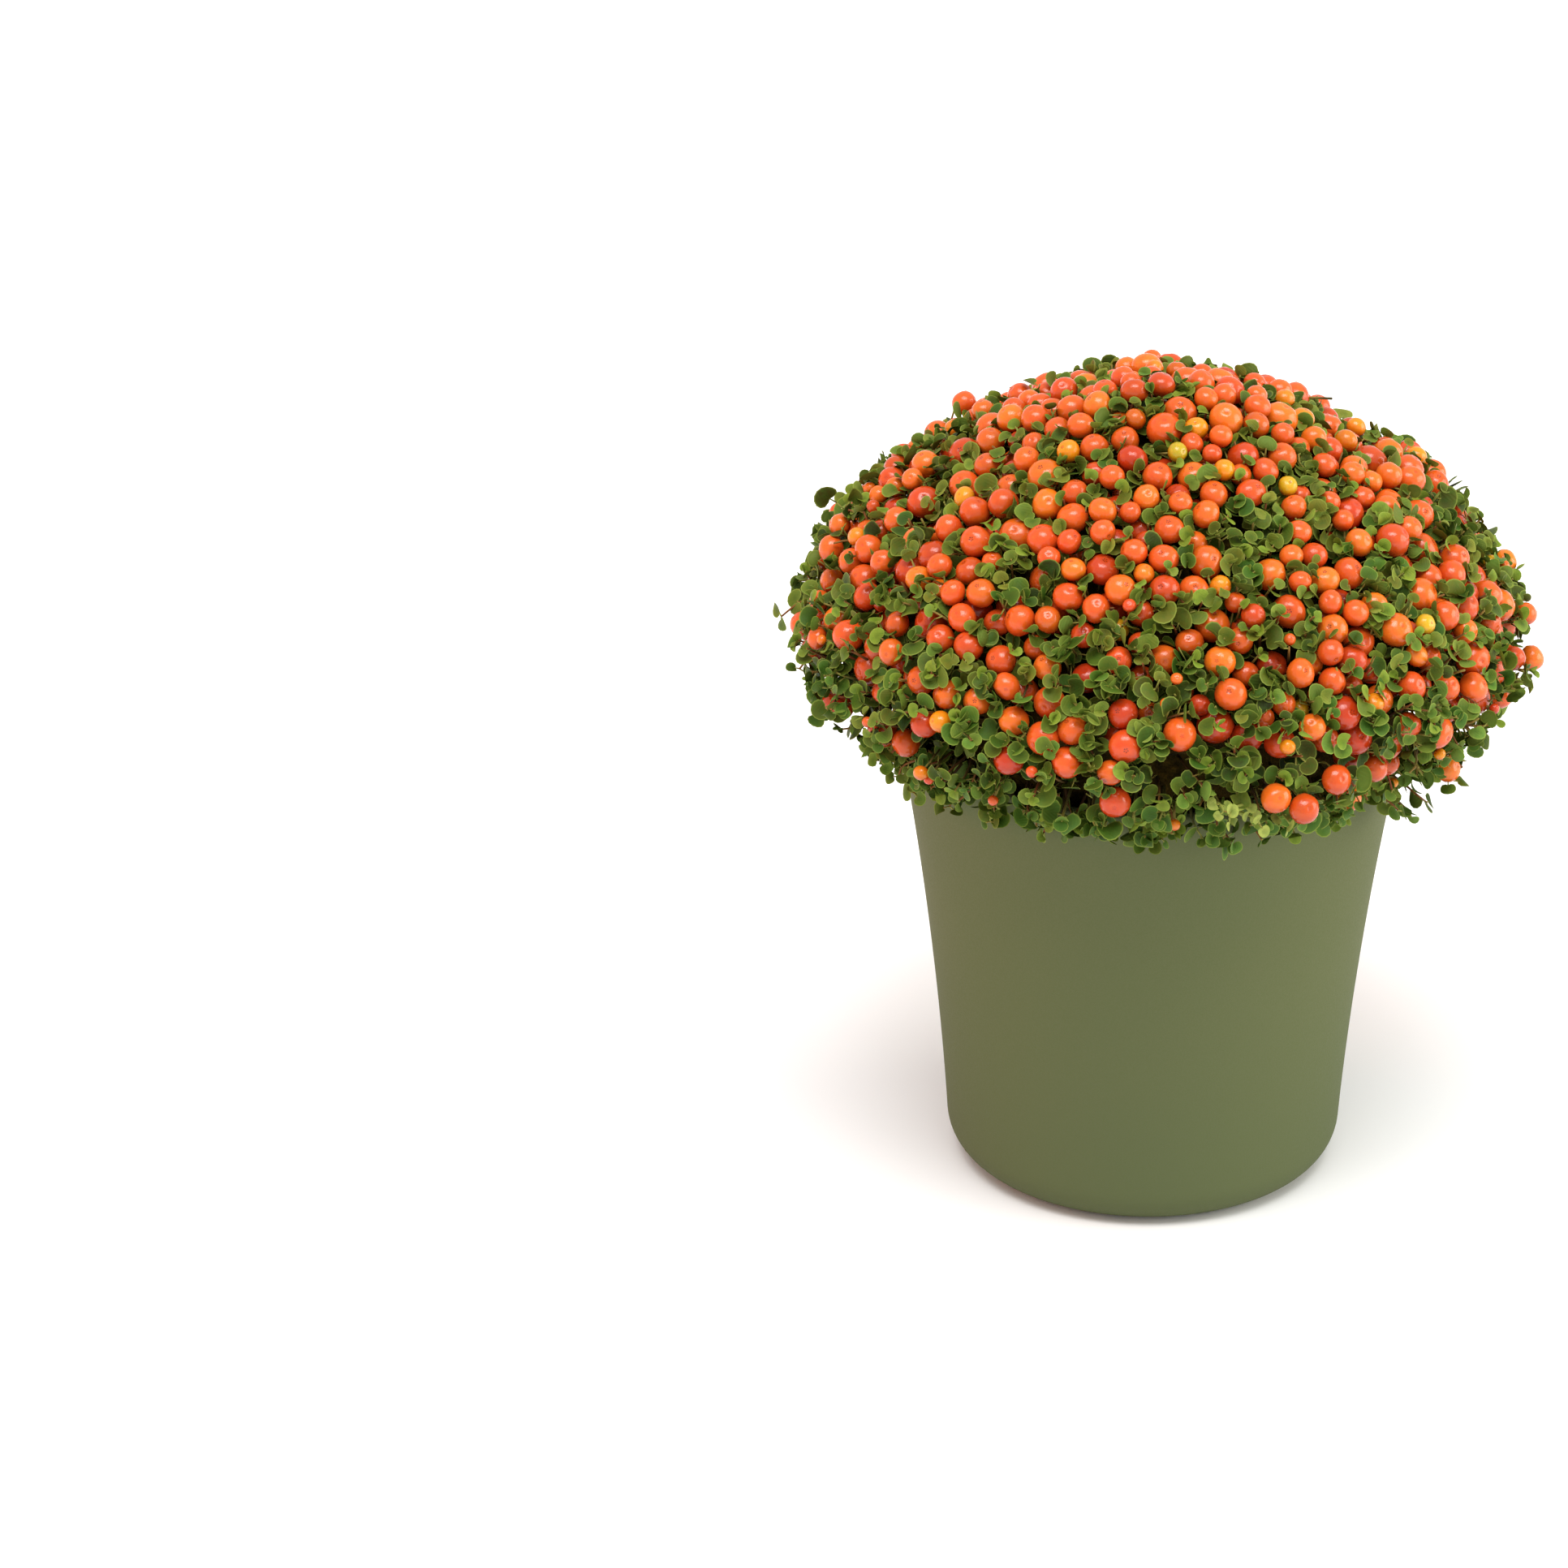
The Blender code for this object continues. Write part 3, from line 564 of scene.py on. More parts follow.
def berry_material():
    """Glossy skin from green through yellow to coral. berry_place is a point of a unit ball whose +Z
    is the berry's free end, berry_tone is (ripeness, shade, how much of the calyx is left) and
    berry_under is how far the skin faces the ground."""
    n = Nodes("coral_berry")
    place = n.attribute("berry_place", "Vector")
    ripe, shade, calyx = n.split(n.attribute("berry_tone", "Vector"))
    x, y, z = n.split(place)
    blush = n.noise(2.2, 3.0, vector=place)
    ripeness = n.varied(ripe, blush, 0.22)
    ripe_shades = (0.45, 224, 136, 16), (0.70, 224, 108, 28), (1.0, 214, 78, 26)
    skin = n.ramp(ripeness, (0.0, 132, 142, 30), (0.22, 200, 158, 24), *ripe_shades)
    # Darker red by the shade value: partly the berry's own tone, partly painted shade deep in the cushion.
    skin = n.mix(n.range(shade, 0.0, 1.0, 0.0, 0.75), skin, colour(156, 20, 10))
    # Painted shade: deeper red towards the stalk end, the side that faces into the cushion and down.
    skin = n.mix(n.range(z, 0.1, -0.9, 0.0, 0.45), skin, colour(186, 44, 12))
    # Painted shade: skin that faces the ground is painted a darker red.
    under = n.range(n.attribute("berry_under"), -0.1, 0.95, 0.0, 0.70)
    skin = n.mix(under, skin, colour(150, 26, 8))
    around = n.math("ARCTAN2", y, x)
    away = n.math("SQRT", n.plus(n.times(x, x), n.times(y, y)))
    free_end = n.range(z, 0.0, 0.3)
    ring = n.range(n.math("ABSOLUTE", n.math("SUBTRACT", away, 0.11)), 0.02, 0.065, 1.0, 0.0)
    dots = n.plus(n.math("SINE", n.times(around, 5.0)), n.times(blush, 1.2))
    spots = n.times(ring, free_end, n.range(dots, 0.5, 1.1), calyx)
    hollow = n.times(n.range(away, 0.06, 0.16, 0.35, 0.0), free_end)
    skin = n.mix(hollow, skin, colour(176, 52, 30))
    skin = n.mix(spots, skin, colour(84, 38, 22))
    n.set(Base_Color=skin, Roughness=0.19, Subsurface_Weight=0.14, Specular_IOR_Level=0.44)
    n.set(Subsurface_Radius=(1.0, 0.32, 0.12), Subsurface_Scale=0.0016)
    n.bump(n.noise(5.0, 3.0, vector=place), 0.00012, 0.5)
    return n.material


def stem_material():
    """Thin stems, from pale green to reddish brown. stem_tone is the share of brown and stem_deep is 1
    at the root, where the stem is painted nearly black as shade deep in the cushion."""
    n = Nodes("stem_green_brown")
    streak = n.noise(800.0, 2.0)
    tone = n.varied(n.attribute("stem_tone"), streak, 0.4)
    base = n.ramp(tone, (0.1, 136, 146, 66), (0.5, 132, 100, 48), (0.9, 112, 58, 30))
    # Painted shade: stems go nearly black towards their roots, deep in the cushion.
    deep = n.range(n.attribute("stem_deep"), 0.10, 0.75, 0.0, 0.85)
    base = n.mix(deep, base, colour(32, 27, 6))
    n.set(Base_Color=base, Roughness=0.55, Specular_IOR_Level=0.15)
    n.bump(streak, 0.00008)
    return n.material


def floor_material():
    n = Nodes("pale_floor")
    base = n.mix(n.noise(3.0, 2.0), (0.90, 0.90, 0.90), (0.92, 0.92, 0.915))
    n.set(Base_Color=base, Roughness=0.8)
    return n.material


def arc(centre, radius, start, end, steps):
    """Points (r, z) along an arc about centre, both ends included."""
    angles = [start + (end - start) * step / steps for step in range(steps + 1)]
    return [(centre[0] + radius * math.cos(a), centre[1] + radius * math.sin(a)) for a in angles]


def wall_radius(z):
    """Radius of the pot's outer wall at a height."""
    return FOOT_RADIUS + WALL_SLOPE * z + WALL_FLARE * z * z


def foot_arc(rounding, offset, floor_z, steps):
    """The rounding between a flat floor and the line that lies offset inside the outer wall."""
    centre = (wall_radius(floor_z + rounding) - offset - rounding, floor_z + rounding)
    return arc(centre, rounding, -math.pi / 2, -math.atan(WALL_SLOPE), steps)


def grid(rings, sides):
    """Faces between closed rings of points that follow each other."""
    faces = []
    for ring in range(rings - 1):
        low, high = ring * sides, (ring + 1) * sides
        for side in range(sides):
            after = (side + 1) % sides
            faces.append((low + side, low + after, high + after, high + side))
    return faces


def capped_grid(rings, sides):
    """The faces of such a grid, with one more at each end."""
    last = (rings - 1) * sides
    return grid(rings, sides) + [tuple(range(sides))[::-1], tuple(range(last, last + sides))]


def turned(profile, sides):
    """Points and faces of a closed turned solid from (r, z) points. Its ends are capped."""
    turns = FULL_TURN * np.arange(sides) / sides
    radius, z = np.array(profile)[:, :1], np.array(profile)[:, 1:]
    points = np.stack([radius * np.cos(turns), radius * np.sin(turns), z + 0 * turns], -1)
    return points.reshape(-1, 3), capped_grid(len(profile), sides)


def build_pot(material):
    foot = foot_arc(FOOT_ROUNDING, 0.0, 0.0, FOOT_STEPS)
    inner_foot = foot_arc(INNER_ROUNDING, WALL_THICKNESS, FLOOR_THICKNESS, INNER_FOOT_STEPS)
    half_wall = WALL_THICKNESS / 2
    rim_z = POT_HEIGHT - half_wall
    outer = np.linspace(FOOT_ROUNDING, rim_z, OUTER_WALL_STEPS)[1:-1]
    inner = np.linspace(FLOOR_THICKNESS + INNER_ROUNDING, rim_z, INNER_WALL_STEPS)[1:-1]
    rim = arc((wall_radius(POT_HEIGHT) - half_wall, rim_z), half_wall, 0.0, math.pi, RIM_STEPS)
    profile = foot + [(wall_radius(z), z) for z in outer] + rim
    profile += [(wall_radius(z) - WALL_THICKNESS, z) for z in inner[::-1]] + inner_foot[::-1]
    mesh = make_mesh(*turned(profile, POT_SIDES))
    add_piece("pot_shell", mesh, material, ["pot"], POT_SHARP_ANGLE)


def build_soil(material):
    offset = WALL_THICKNESS + GAP
    floor_z = FLOOR_THICKNESS + GAP
    top_z = SOIL_TOP - SOIL_LUMP
    foot = foot_arc(INNER_ROUNDING, offset, floor_z, SOIL_FOOT_STEPS)
    levels = np.linspace(floor_z + INNER_ROUNDING, top_z, SOIL_WALL_STEPS)[1:]
    wall = [(wall_radius(z) - offset, z) for z in levels]
    top = [(wall[-1][0] * share, top_z) for share in np.linspace(1.0, 0.02, SOIL_RINGS)[1:]]
    points, faces = turned(foot + wall + top, SOIL_SIDES)
    on_top = points[:, 2] > SOIL_TOP - SOIL_LUMP * 1.5
    points[on_top, 2] += SOIL_LUMP * np.clip(noise_at(points[on_top], SOIL_LUMP_SIZE), -1, 1)
    add_piece("soil_fill", make_mesh(points, faces), material, ["soil"], SOIL_SHARP_ANGLE)


def near_spot(point, azimuth, z, size):
    """From 1 at a spot, given by its azimuth and height, down to 0 away from it."""
    turn = math.radians(azimuth)
    flat = math.hypot(point.x, point.y)
    place = Vector((flat * math.cos(turn), flat * math.sin(turn), z))
    return math.exp(-((point - place).length / size) ** 2)


class Envelope:
    """The cushion's outer surface, walked from the top (share 0) to the lip (share 1) by area."""

    def __init__(self):
        steps = np.linspace(0, np.pi / 2, CUSHION_STEPS)
        above = CUSHION_RADIUS * np.cos(steps) ** SHOULDER_POWER
        above_z = CUSHION_WIDEST_Z + (CUSHION_TOP_Z - CUSHION_WIDEST_Z) * np.sin(steps)
        below = LIP_RADIUS + (CUSHION_RADIUS - LIP_RADIUS) * np.cos(steps[1:]) ** LIP_POWER
        below_z = -np.sin(steps[1:])
        self.radius = np.concatenate([above[::-1], below])
        self.above = np.concatenate([above_z[::-1], np.full(len(below), CUSHION_WIDEST_Z)])
        self.below = np.concatenate([np.zeros(len(above)), below_z])
        z = self.above + self.below * (CUSHION_WIDEST_Z - LIP_Z_SIDE)
        length = np.hypot(np.diff(self.radius), np.diff(z))
        middle = (self.radius[1:] + self.radius[:-1]) / 2
        area = np.concatenate([[0.0], np.cumsum(FULL_TURN * middle * length)])
        self.area = area[-1]
        self.share = area / area[-1]

    def plain(self, share, azimuth):
        """The smooth surface's point."""
        radius = np.interp(share, self.share, self.radius)
        front = math.exp(-(math.remainder(azimuth + math.pi / 2, FULL_TURN) ** 2))
        lip_z = LIP_Z_SIDE + (LIP_Z_FRONT - LIP_Z_SIDE) * front
        z = np.interp(share, self.share, self.above)
        z += np.interp(share, self.share, self.below) * (CUSHION_WIDEST_Z - lip_z)
        return Vector((CUSHION_SHIFT_X + radius * math.cos(azimuth), radius * math.sin(azimuth), z))

    def at(self, share, azimuth):
        """Point and outward normal, with the clumps, knobs and bulges."""
        step = 0.004
        point = self.plain(share, azimuth)
        low = self.plain(min(share + step, 1.0), azimuth)
        high = self.plain(max(share - step, 0.0), azimuth)
        around = Vector((-math.sin(azimuth), math.cos(azimuth), 0.0))
        normal = (low - high).cross(around)
        if normal.dot(point - Vector((0.0, 0.0, CUSHION_MIDDLE_Z))) < 0:
            normal = -normal
        normal.normalize()
        return point + normal * self.lump(point), normal

    def radius_at(self, z):
        """Radius of the plain surface at a height below the widest."""
        down = (CUSHION_WIDEST_Z - z) / (CUSHION_WIDEST_Z - LIP_Z_SIDE)
        angle = math.asin(min(max(down, 0.0), 1.0))
        return LIP_RADIUS + (CUSHION_RADIUS - LIP_RADIUS) * math.cos(angle) ** LIP_POWER

    def lump(self, point):
        height = CLUMP_HEIGHT * noise.noise(point / CLUMP_SIZE)
        height += KNOB_HEIGHT * noise.noise(point / KNOB_SIZE + KNOB_SHIFT)
        return height + sum(rise * near_spot(point, *spot) for *spot, rise in BULGES)


def tuft_of(point):
    """The name of the tuft that a place belongs to: the crown, or the ring tuft of its direction."""
    if math.hypot(point[0] - CUSHION_SHIFT_X, point[1]) < CROWN_RADIUS:
        return TUFTS[0]
    azimuth = math.atan2(point[1], point[0]) + math.pi / 2
    return TUFTS[1 + round(azimuth / (FULL_TURN / RING_TUFTS)) % RING_TUFTS]


@dataclass
class Berry:
    """A berry whose axis points to its free end, and where on the cushion it was thrown."""

    centre: Vector
    radius: float
    axis: Vector
    tuft: str
    ripe: float
    depth: float = 0.0
    share: float = 0.0
    azimuth: float = 0.0


def beside(berry, gap, envelope, random):
    """A place on the cushion at the given distance from a berry, in a random direction."""
    turn = random.uniform(0, FULL_TURN)
    radius = max(math.hypot(berry.centre.x, berry.centre.y), gap)
    share = berry.share + gap * math.cos(turn) * FULL_TURN * radius / envelope.area
    return share, berry.azimuth + gap * math.sin(turn) / radius


def place_berries(envelope):
    """Berries thrown on the cushion, in an outer and an inner layer, and kept where they touch no
    other. Many are thrown right beside another one, so that they stand in clusters and chains. Each
    strip of the cushion takes its own number of them, which is larger near the top."""
    random = random_stream(1)
    berries = []
    centres = np.zeros((0, 3))
    radii = np.zeros(0)
    for layer_depth, depth_spread, room in BERRY_LAYERS:
        middles = (np.arange(BERRY_STRIPS) + 0.5) / BERRY_STRIPS
        quota = envelope.area / BERRY_STRIPS / np.interp(middles, BERRY_SHARES, room)
        quota = np.floor(quota + random.uniform(size=BERRY_STRIPS))
        first = len(berries)
        for _ in range(BERRY_TRIES):
            if quota.sum() == 0:
                break
            radius = random.normal(BERRY_RADIUS, BERRY_SPREAD)
            radius = float(np.clip(radius, SMALLEST_BERRY, LARGEST_BERRY))
            ripe = random.choice(BERRY_KINDS, p=BERRY_KIND_SHARES) + random.normal(0, BERRY_KIND_SPREAD)
            if ripe < RIPE_FROM:
                radius = min(radius, UNRIPE_BERRY * random.uniform(*UNRIPE_SIZES))
            if len(berries) > first and random.uniform() < BESIDE_ANOTHER:
                other = berries[random.integers(first, len(berries))]
                gap = (radius + other.radius) * random.uniform(*BESIDE_GAPS)
                share, azimuth = beside(other, gap, envelope, random)
            else:
                share, azimuth = random.uniform(0.0, BERRY_LAST_SHARE), random.uniform(0.0, FULL_TURN)
            if not 0 <= share < BERRY_LAST_SHARE or quota[int(share * BERRY_STRIPS)] == 0:
                continue
            point, normal = envelope.at(share, azimuth)
            likely = BERRY_LIKELY + BERRY_CLUSTERING * noise.noise(point / BERRY_CLUSTER)
            likely += sum(gain * near_spot(point, *spot) for *spot, gain in BERRY_PATCHES)
            if random.uniform() > likely:
                continue
            depth = layer_depth + abs(random.normal(0.0, 1.0)) * depth_spread
            depth -= np.interp(share, PROUD_SHARES, PROUD)
            centre = point - normal * (radius + depth)
            distance = np.linalg.norm(centres - np.array(centre), axis=1)
            if np.any(distance < (radii + radius) * BERRY_TOUCH):
                continue
            quota[int(share * BERRY_STRIPS)] -= 1
            tilt = Vector(random.normal(0.0, BERRY_TILT, 3))
            axis = (normal + UP * BERRY_LIFT + tilt).normalized()
            berries.append(Berry(centre, radius, axis, tuft_of(centre), ripe, depth, share, azimuth))
            centres = np.vstack([centres, np.array(centre)])
            radii = np.append(radii, radius)
    for _ in range(YOUNG_BERRIES):
        radius = random.uniform(*YOUNG_RADII)
        point, normal = envelope.at(random.uniform(*YOUNG_SHARES), random.uniform(0.0, FULL_TURN))
        centre = point - normal * (radius + random.uniform(*YOUNG_DEPTHS))
        distance = np.linalg.norm(centres - np.array(centre), axis=1)
        if np.all(distance > radii + radius):
            berries.append(Berry(centre, radius, normal, tuft_of(centre), random.uniform(0.4, 1.0)))
    return berries


def berry_template():
    """Unit berry: its points, triangles, and the unit ball's points that its skin is painted by."""
    points = [(0.0, 0.0, 1.0)]
    for index, angle in enumerate(BERRY_RINGS):
        polar = math.radians(angle)
        flat = math.sin(polar)
        for side in range(BERRY_SIDES):
            turn = FULL_TURN * (side + 0.5 * (index % 2)) / BERRY_SIDES
            points.append((flat * math.cos(turn), flat * math.sin(turn), math.cos(polar)))
    points.append((0.0, 0.0, -1.0))
    around = [(side, (side + 1) % BERRY_SIDES) for side in range(BERRY_SIDES)]
    faces = [(-1, here, after) for here, after in around]
    for index, (a, b, c, d) in enumerate(grid(len(BERRY_RINGS), BERRY_SIDES)):
        even_ring = index // BERRY_SIDES % 2 == 0
        faces += [(a, d, b), (b, d, c)] if even_ring else [(a, d, c), (a, c, b)]
    last = (len(BERRY_RINGS) - 1) * BERRY_SIDES
    faces += [(last + here, last + BERRY_SIDES, last + after) for here, after in around]
    ball = np.array(points)
    polar = np.degrees(np.arccos(np.clip(ball[:, 2], -1, 1)))
    shape = ball.copy()
    shape[:, 2] *= BERRY_SQUASH
    shape[:, 2] -= DIMPLE_DEPTH * np.exp(-((polar / DIMPLE_WIDTH) ** 2))
    return shape, np.array(faces) + 1, ball


def build_berries(berries, material):
    random = random_stream(2)
    shape, faces, ball = berry_template()
    parts = {tuft: Parts() for tuft in TUFTS}
    for berry in berries:
        stretch = 1 + random.normal(0.0, BERRY_STRETCH, 3)
        wave = random.normal(0.0, 1.0, 3)
        local = shape * stretch
        local = local * (1 + BERRY_WAVE * np.sin(ball @ wave * WAVE_TURN)[:, None])
        spin = Matrix.Rotation(random.uniform(0, FULL_TURN), 3, "Z")
        lie = np.array(berry.axis.to_track_quat("Z", "Y").to_matrix() @ spin)
        points = np.array(berry.centre) + berry.radius * local @ lie.T
        # Each berry's darker red is partly its own random tone and partly painted shade that grows with
        # its depth.
        shade = np.clip(random.beta(*BERRY_SHADE) + berry.depth * PAINTED_SHADE_BY_DEPTH, 0, 1)
        shade *= min(berry.ripe / RIPE_FROM, 1.0)
        calyx = CALYX_STRONG if random.uniform() < CALYX_KEPT else CALYX_FAINT
        tone = np.tile((np.clip(berry.ripe, 0, 1), shade, calyx), (len(points), 1))
        under = -(ball @ lie.T)[:, 2]
        parts[berry.tuft].add(points, faces, berry_place=ball, berry_tone=tone, berry_under=under)
    for tuft in TUFTS:
        add_tuft_piece(tuft, "berries", parts[tuft].mesh(), material)


def leaf_template():
    """A flat kidney-shaped leaf of unit length. Its base is at the origin and it lies along +X.

    Returns the middle surface's points, its triangles, half its thickness at each point, how near
    the edge each point is, and the closed leaf's triangles, where the points of the underside that
    aren't on the edge follow those of the middle surface.
    """
    turns = FULL_TURN * np.arange(LEAF_OUTER_POINTS) / LEAF_OUTER_POINTS
    from_base = np.pi - np.abs(np.where(turns > np.pi, turns - FULL_TURN, turns))
    reach = 1 - LEAF_NOTCH * np.exp(-((from_base / LEAF_NOTCH_WIDTH) ** 2))
    outer = np.stack([0.5 * reach * np.cos(turns), LEAF_HALF_WIDTH * reach * np.sin(turns)], -1)
    inner = outer[::2] * LEAF_INNER_SHARE
    flat = np.concatenate([[(0.0, 0.0)], inner, outer]) + (LEAF_BASE, 0.0)
    inner_count = len(inner)
    first_outer = 1 + inner_count
    faces = []
    for spot in range(inner_count):
        after = (spot + 1) % inner_count
        here = first_outer + 2 * spot
        middle = here + 1
        there = first_outer + (2 * spot + 2) % LEAF_OUTER_POINTS
        faces.append((0, 1 + spot, 1 + after))
        faces.append((1 + spot, here, middle))
        faces.append((1 + spot, middle, 1 + after))
        faces.append((1 + after, middle, there))
    faces = np.array(faces)
    thickness = np.concatenate([[0.5], np.full(inner_count, 0.45), np.zeros(LEAF_OUTER_POINTS)])
    edge = np.concatenate([[0.0], np.full(inner_count, LEAF_INNER_SHARE), np.ones(LEAF_OUTER_POINTS)])
    under = faces[:, ::-1].copy()
    under[under < first_outer] += len(flat)
    return flat, faces, thickness, edge, np.concatenate([faces, under])


@dataclass
class Leaf:
    """A leaf: where its stalk leaves the stem, where its blade starts, how the blade lies, which way
    is out of the cushion, its size, bends and (shade, freshness, hue), and its tuft."""

    node: Vector
    base: Vector
    along: Vector
    normal: Vector
    out: Vector
    size: float
    curl: float
    cup: float
    twist: float
    tone: tuple
    tuft: str


def gather(things, name):
    """One value of many things."""
    return np.array([getattr(thing, name) for thing in things])


def bend(points, amount, axis):
    """Bends flat things along one axis into an arc. amount is the curvature for each leaf."""
    amount = np.where(np.abs(amount) < 1e-3, 1e-3, amount)[:, None]
    radius = 1 / amount
    angle = points[..., axis] * amount
    reach = radius - points[..., 2]
    bent = points.copy()
    bent[..., axis] = np.sin(angle) * reach
    bent[..., 2] = radius - np.cos(angle) * reach
    return bent


def tree_of(berries):
    """The berries' centres, to look up those near a place."""
    tree = KDTree(len(berries))
    for index, berry in enumerate(berries):
        tree.insert(berry.centre, index)
    tree.balance()
    return tree


def near_berries(points, berries, reach):
    """For each rank: the rows of leaves that have that many berries near, and the centre and radius
    of the one of that rank for each."""
    tree = tree_of(berries)
    centres = gather(berries, "centre")
    radii = gather(berries, "radius")
    near = []
    for place in points.mean(axis=1):
        near.append([index for _, index, _ in tree.find_range(Vector(place), reach)])
    for rank in range(max(len(found) for found in near)):
        rows = np.array([row for row, found in enumerate(near) if len(found) > rank])
        balls = np.array([near[row][rank] for row in rows])
        yield rows, centres[balls][:, None], radii[balls][:, None]


def push_out(points, berries):
    """Moves points of leaves out of the berries that they would lie in."""
    for rows, centres, radii in near_berries(points, berries, LEAF_LENGTH + LARGEST_BERRY):
        away = points[rows] - centres
        distance = np.linalg.norm(away, axis=2, keepdims=True)
        least = radii[..., None] + LEAF_CLEARANCE
        pushed = centres + away / np.maximum(distance, 1e-9) * least
        points[rows] = np.where(distance < least, pushed, points[rows])


def settle(points, berries):
    """Moves whole leaves out of the berries that they would lie in. Returns how each one moved."""
    moves = np.zeros((len(points), 3))
    for _ in range(SETTLE_STEPS):
        for rows, centres, radii in near_berries(points, berries, LEAF_LENGTH + LARGEST_BERRY):
            away = points[rows] - centres
            inside = radii + LEAF_CLEARANCE - np.linalg.norm(away, axis=2)
            outward = away.mean(axis=1)
            outward /= np.maximum(np.linalg.norm(outward, axis=1, keepdims=True), 1e-9)
            step = outward * np.maximum(inside.max(axis=1), 0.0)[:, None]
            points[rows] += step[:, None]
            moves[rows] += step
    return moves


def cover_shares(points, out, berries):
    """The share of each leaf that hides a berry from outside."""
    shares = np.zeros(len(points))
    for rows, centres, radii in near_berries(points, berries, 2 * LEAF_LENGTH + LARGEST_BERRY):
        away = points[rows] - centres
        height = np.einsum("nmk,nk->nm", away, out[rows])
        lateral = np.linalg.norm(away - height[..., None] * out[rows][:, None], axis=2)
        hides = (lateral < radii * LEAF_OVER_BERRY) & (height > 0)
        shares[rows] += hides.mean(axis=1)
    return shares


def blade_points(leaves):
    """Points of the middle surface of every leaf, bent and put in place."""
    flat = leaf_template()[0]
    points = np.zeros((len(leaves), len(flat), 3))
    points[..., :2] = flat
    points = bend(points, gather(leaves, "cup"), 1)
    points = bend(points, gather(leaves, "curl"), 0)
    points[..., 2] += gather(leaves, "twist")[:, None] * points[..., 0] * points[..., 1]
    points *= gather(leaves, "size")[:, None, None]
    along = gather(leaves, "along")
    normal = gather(leaves, "normal")
    frames = np.stack([along, np.cross(normal, along), normal], axis=1)
    return np.einsum("nmk,nkj->nmj", points, frames) + gather(leaves, "base")[:, None]


def surface_normals(points, faces):
    """Unit normals at each point of many alike surfaces."""
    first, second, third = (points[:, faces[:, corner]] for corner in range(3))
    face_normals = np.cross(second - first, third - first)
    touch = np.zeros((points.shape[1], len(faces)))
    for face, corners in enumerate(faces):
        touch[corners, face] = 1.0
    normals = np.einsum("pf,nfk->npk", touch, face_normals)
    return normals / np.maximum(np.linalg.norm(normals, axis=2, keepdims=True), 1e-12)


def build_leaves(leaves, berries, material):
    """One mesh of closed, lens-thin blades for each tuft."""
    flat, faces, thickness, edge, closed = leaf_template()
    inner_count = int((edge < 1).sum())
    middle = blade_points(leaves)
    for _ in range(PUSH_STEPS):
        push_out(middle, berries)
    half = surface_normals(middle, faces) * (LEAF_THICKNESS * thickness[None, :, None])
    points = np.concatenate([middle + half, (middle - half)[:, :inner_count]], axis=1)
    place = np.stack([flat[:, 0], flat[:, 1] / LEAF_HALF_WIDTH, edge], -1)
    place = np.concatenate([place, place[:inner_count]])
    at_edge = np.full(len(edge) - inner_count, 0.3)
    under = np.concatenate([np.zeros(inner_count), at_edge, np.ones(inner_count)])
    tones = gather(leaves, "tone")
    count = points.shape[1]
    for tuft in TUFTS:
        rows = np.flatnonzero(gather(leaves, "tuft") == tuft)
        shift = (np.arange(len(rows)) * count)[:, None, None]
        values = {
            "leaf_place": np.tile(place, (len(rows), 1)),
            "leaf_tone": np.repeat(tones[rows], count, axis=0),
            "leaf_under": np.tile(under, len(rows)),
        }
        all_faces = (closed[None] + shift).reshape(-1, 3).tolist()
        mesh = make_mesh(points[rows].reshape(-1, 3), all_faces, values)
        add_tuft_piece(tuft, "leaves", mesh, material, LEAF_SHARP_ANGLE)


def tube(points, radii, sides):
    """Points and faces of a closed tube along a line of points."""
    points = np.asarray(points, float)
    ahead = np.vstack([points[1:], points[-1:]])
    behind = np.vstack([points[:1], points[:-1]])
    turns = FULL_TURN * np.arange(sides) / sides
    rings = []
    for place, direction, radius in zip(points, ahead - behind, radii):
        matrix = np.array(Vector(direction).to_track_quat("Z", "Y").to_matrix())
        ring = np.stack([radius * np.cos(turns), radius * np.sin(turns), 0 * turns], -1)
        rings.append(place + ring @ matrix.T)
    faces = []
    for a, b, c, d in grid(len(points), sides):
        faces += [(a, b, c), (a, c, d)]
    last = (len(points) - 1) * sides
    for side in range(1, sides - 1):
        faces.append((0, side + 1, side))
        faces.append((last, last + side, last + side + 1))
    return np.concatenate(rings), faces


def side_vector(axis):
    """Some unit vector square to axis."""
    other = UP if abs(axis.z) < 0.9 else Vector((1.0, 0.0, 0.0))
    return axis.cross(other).normalized()


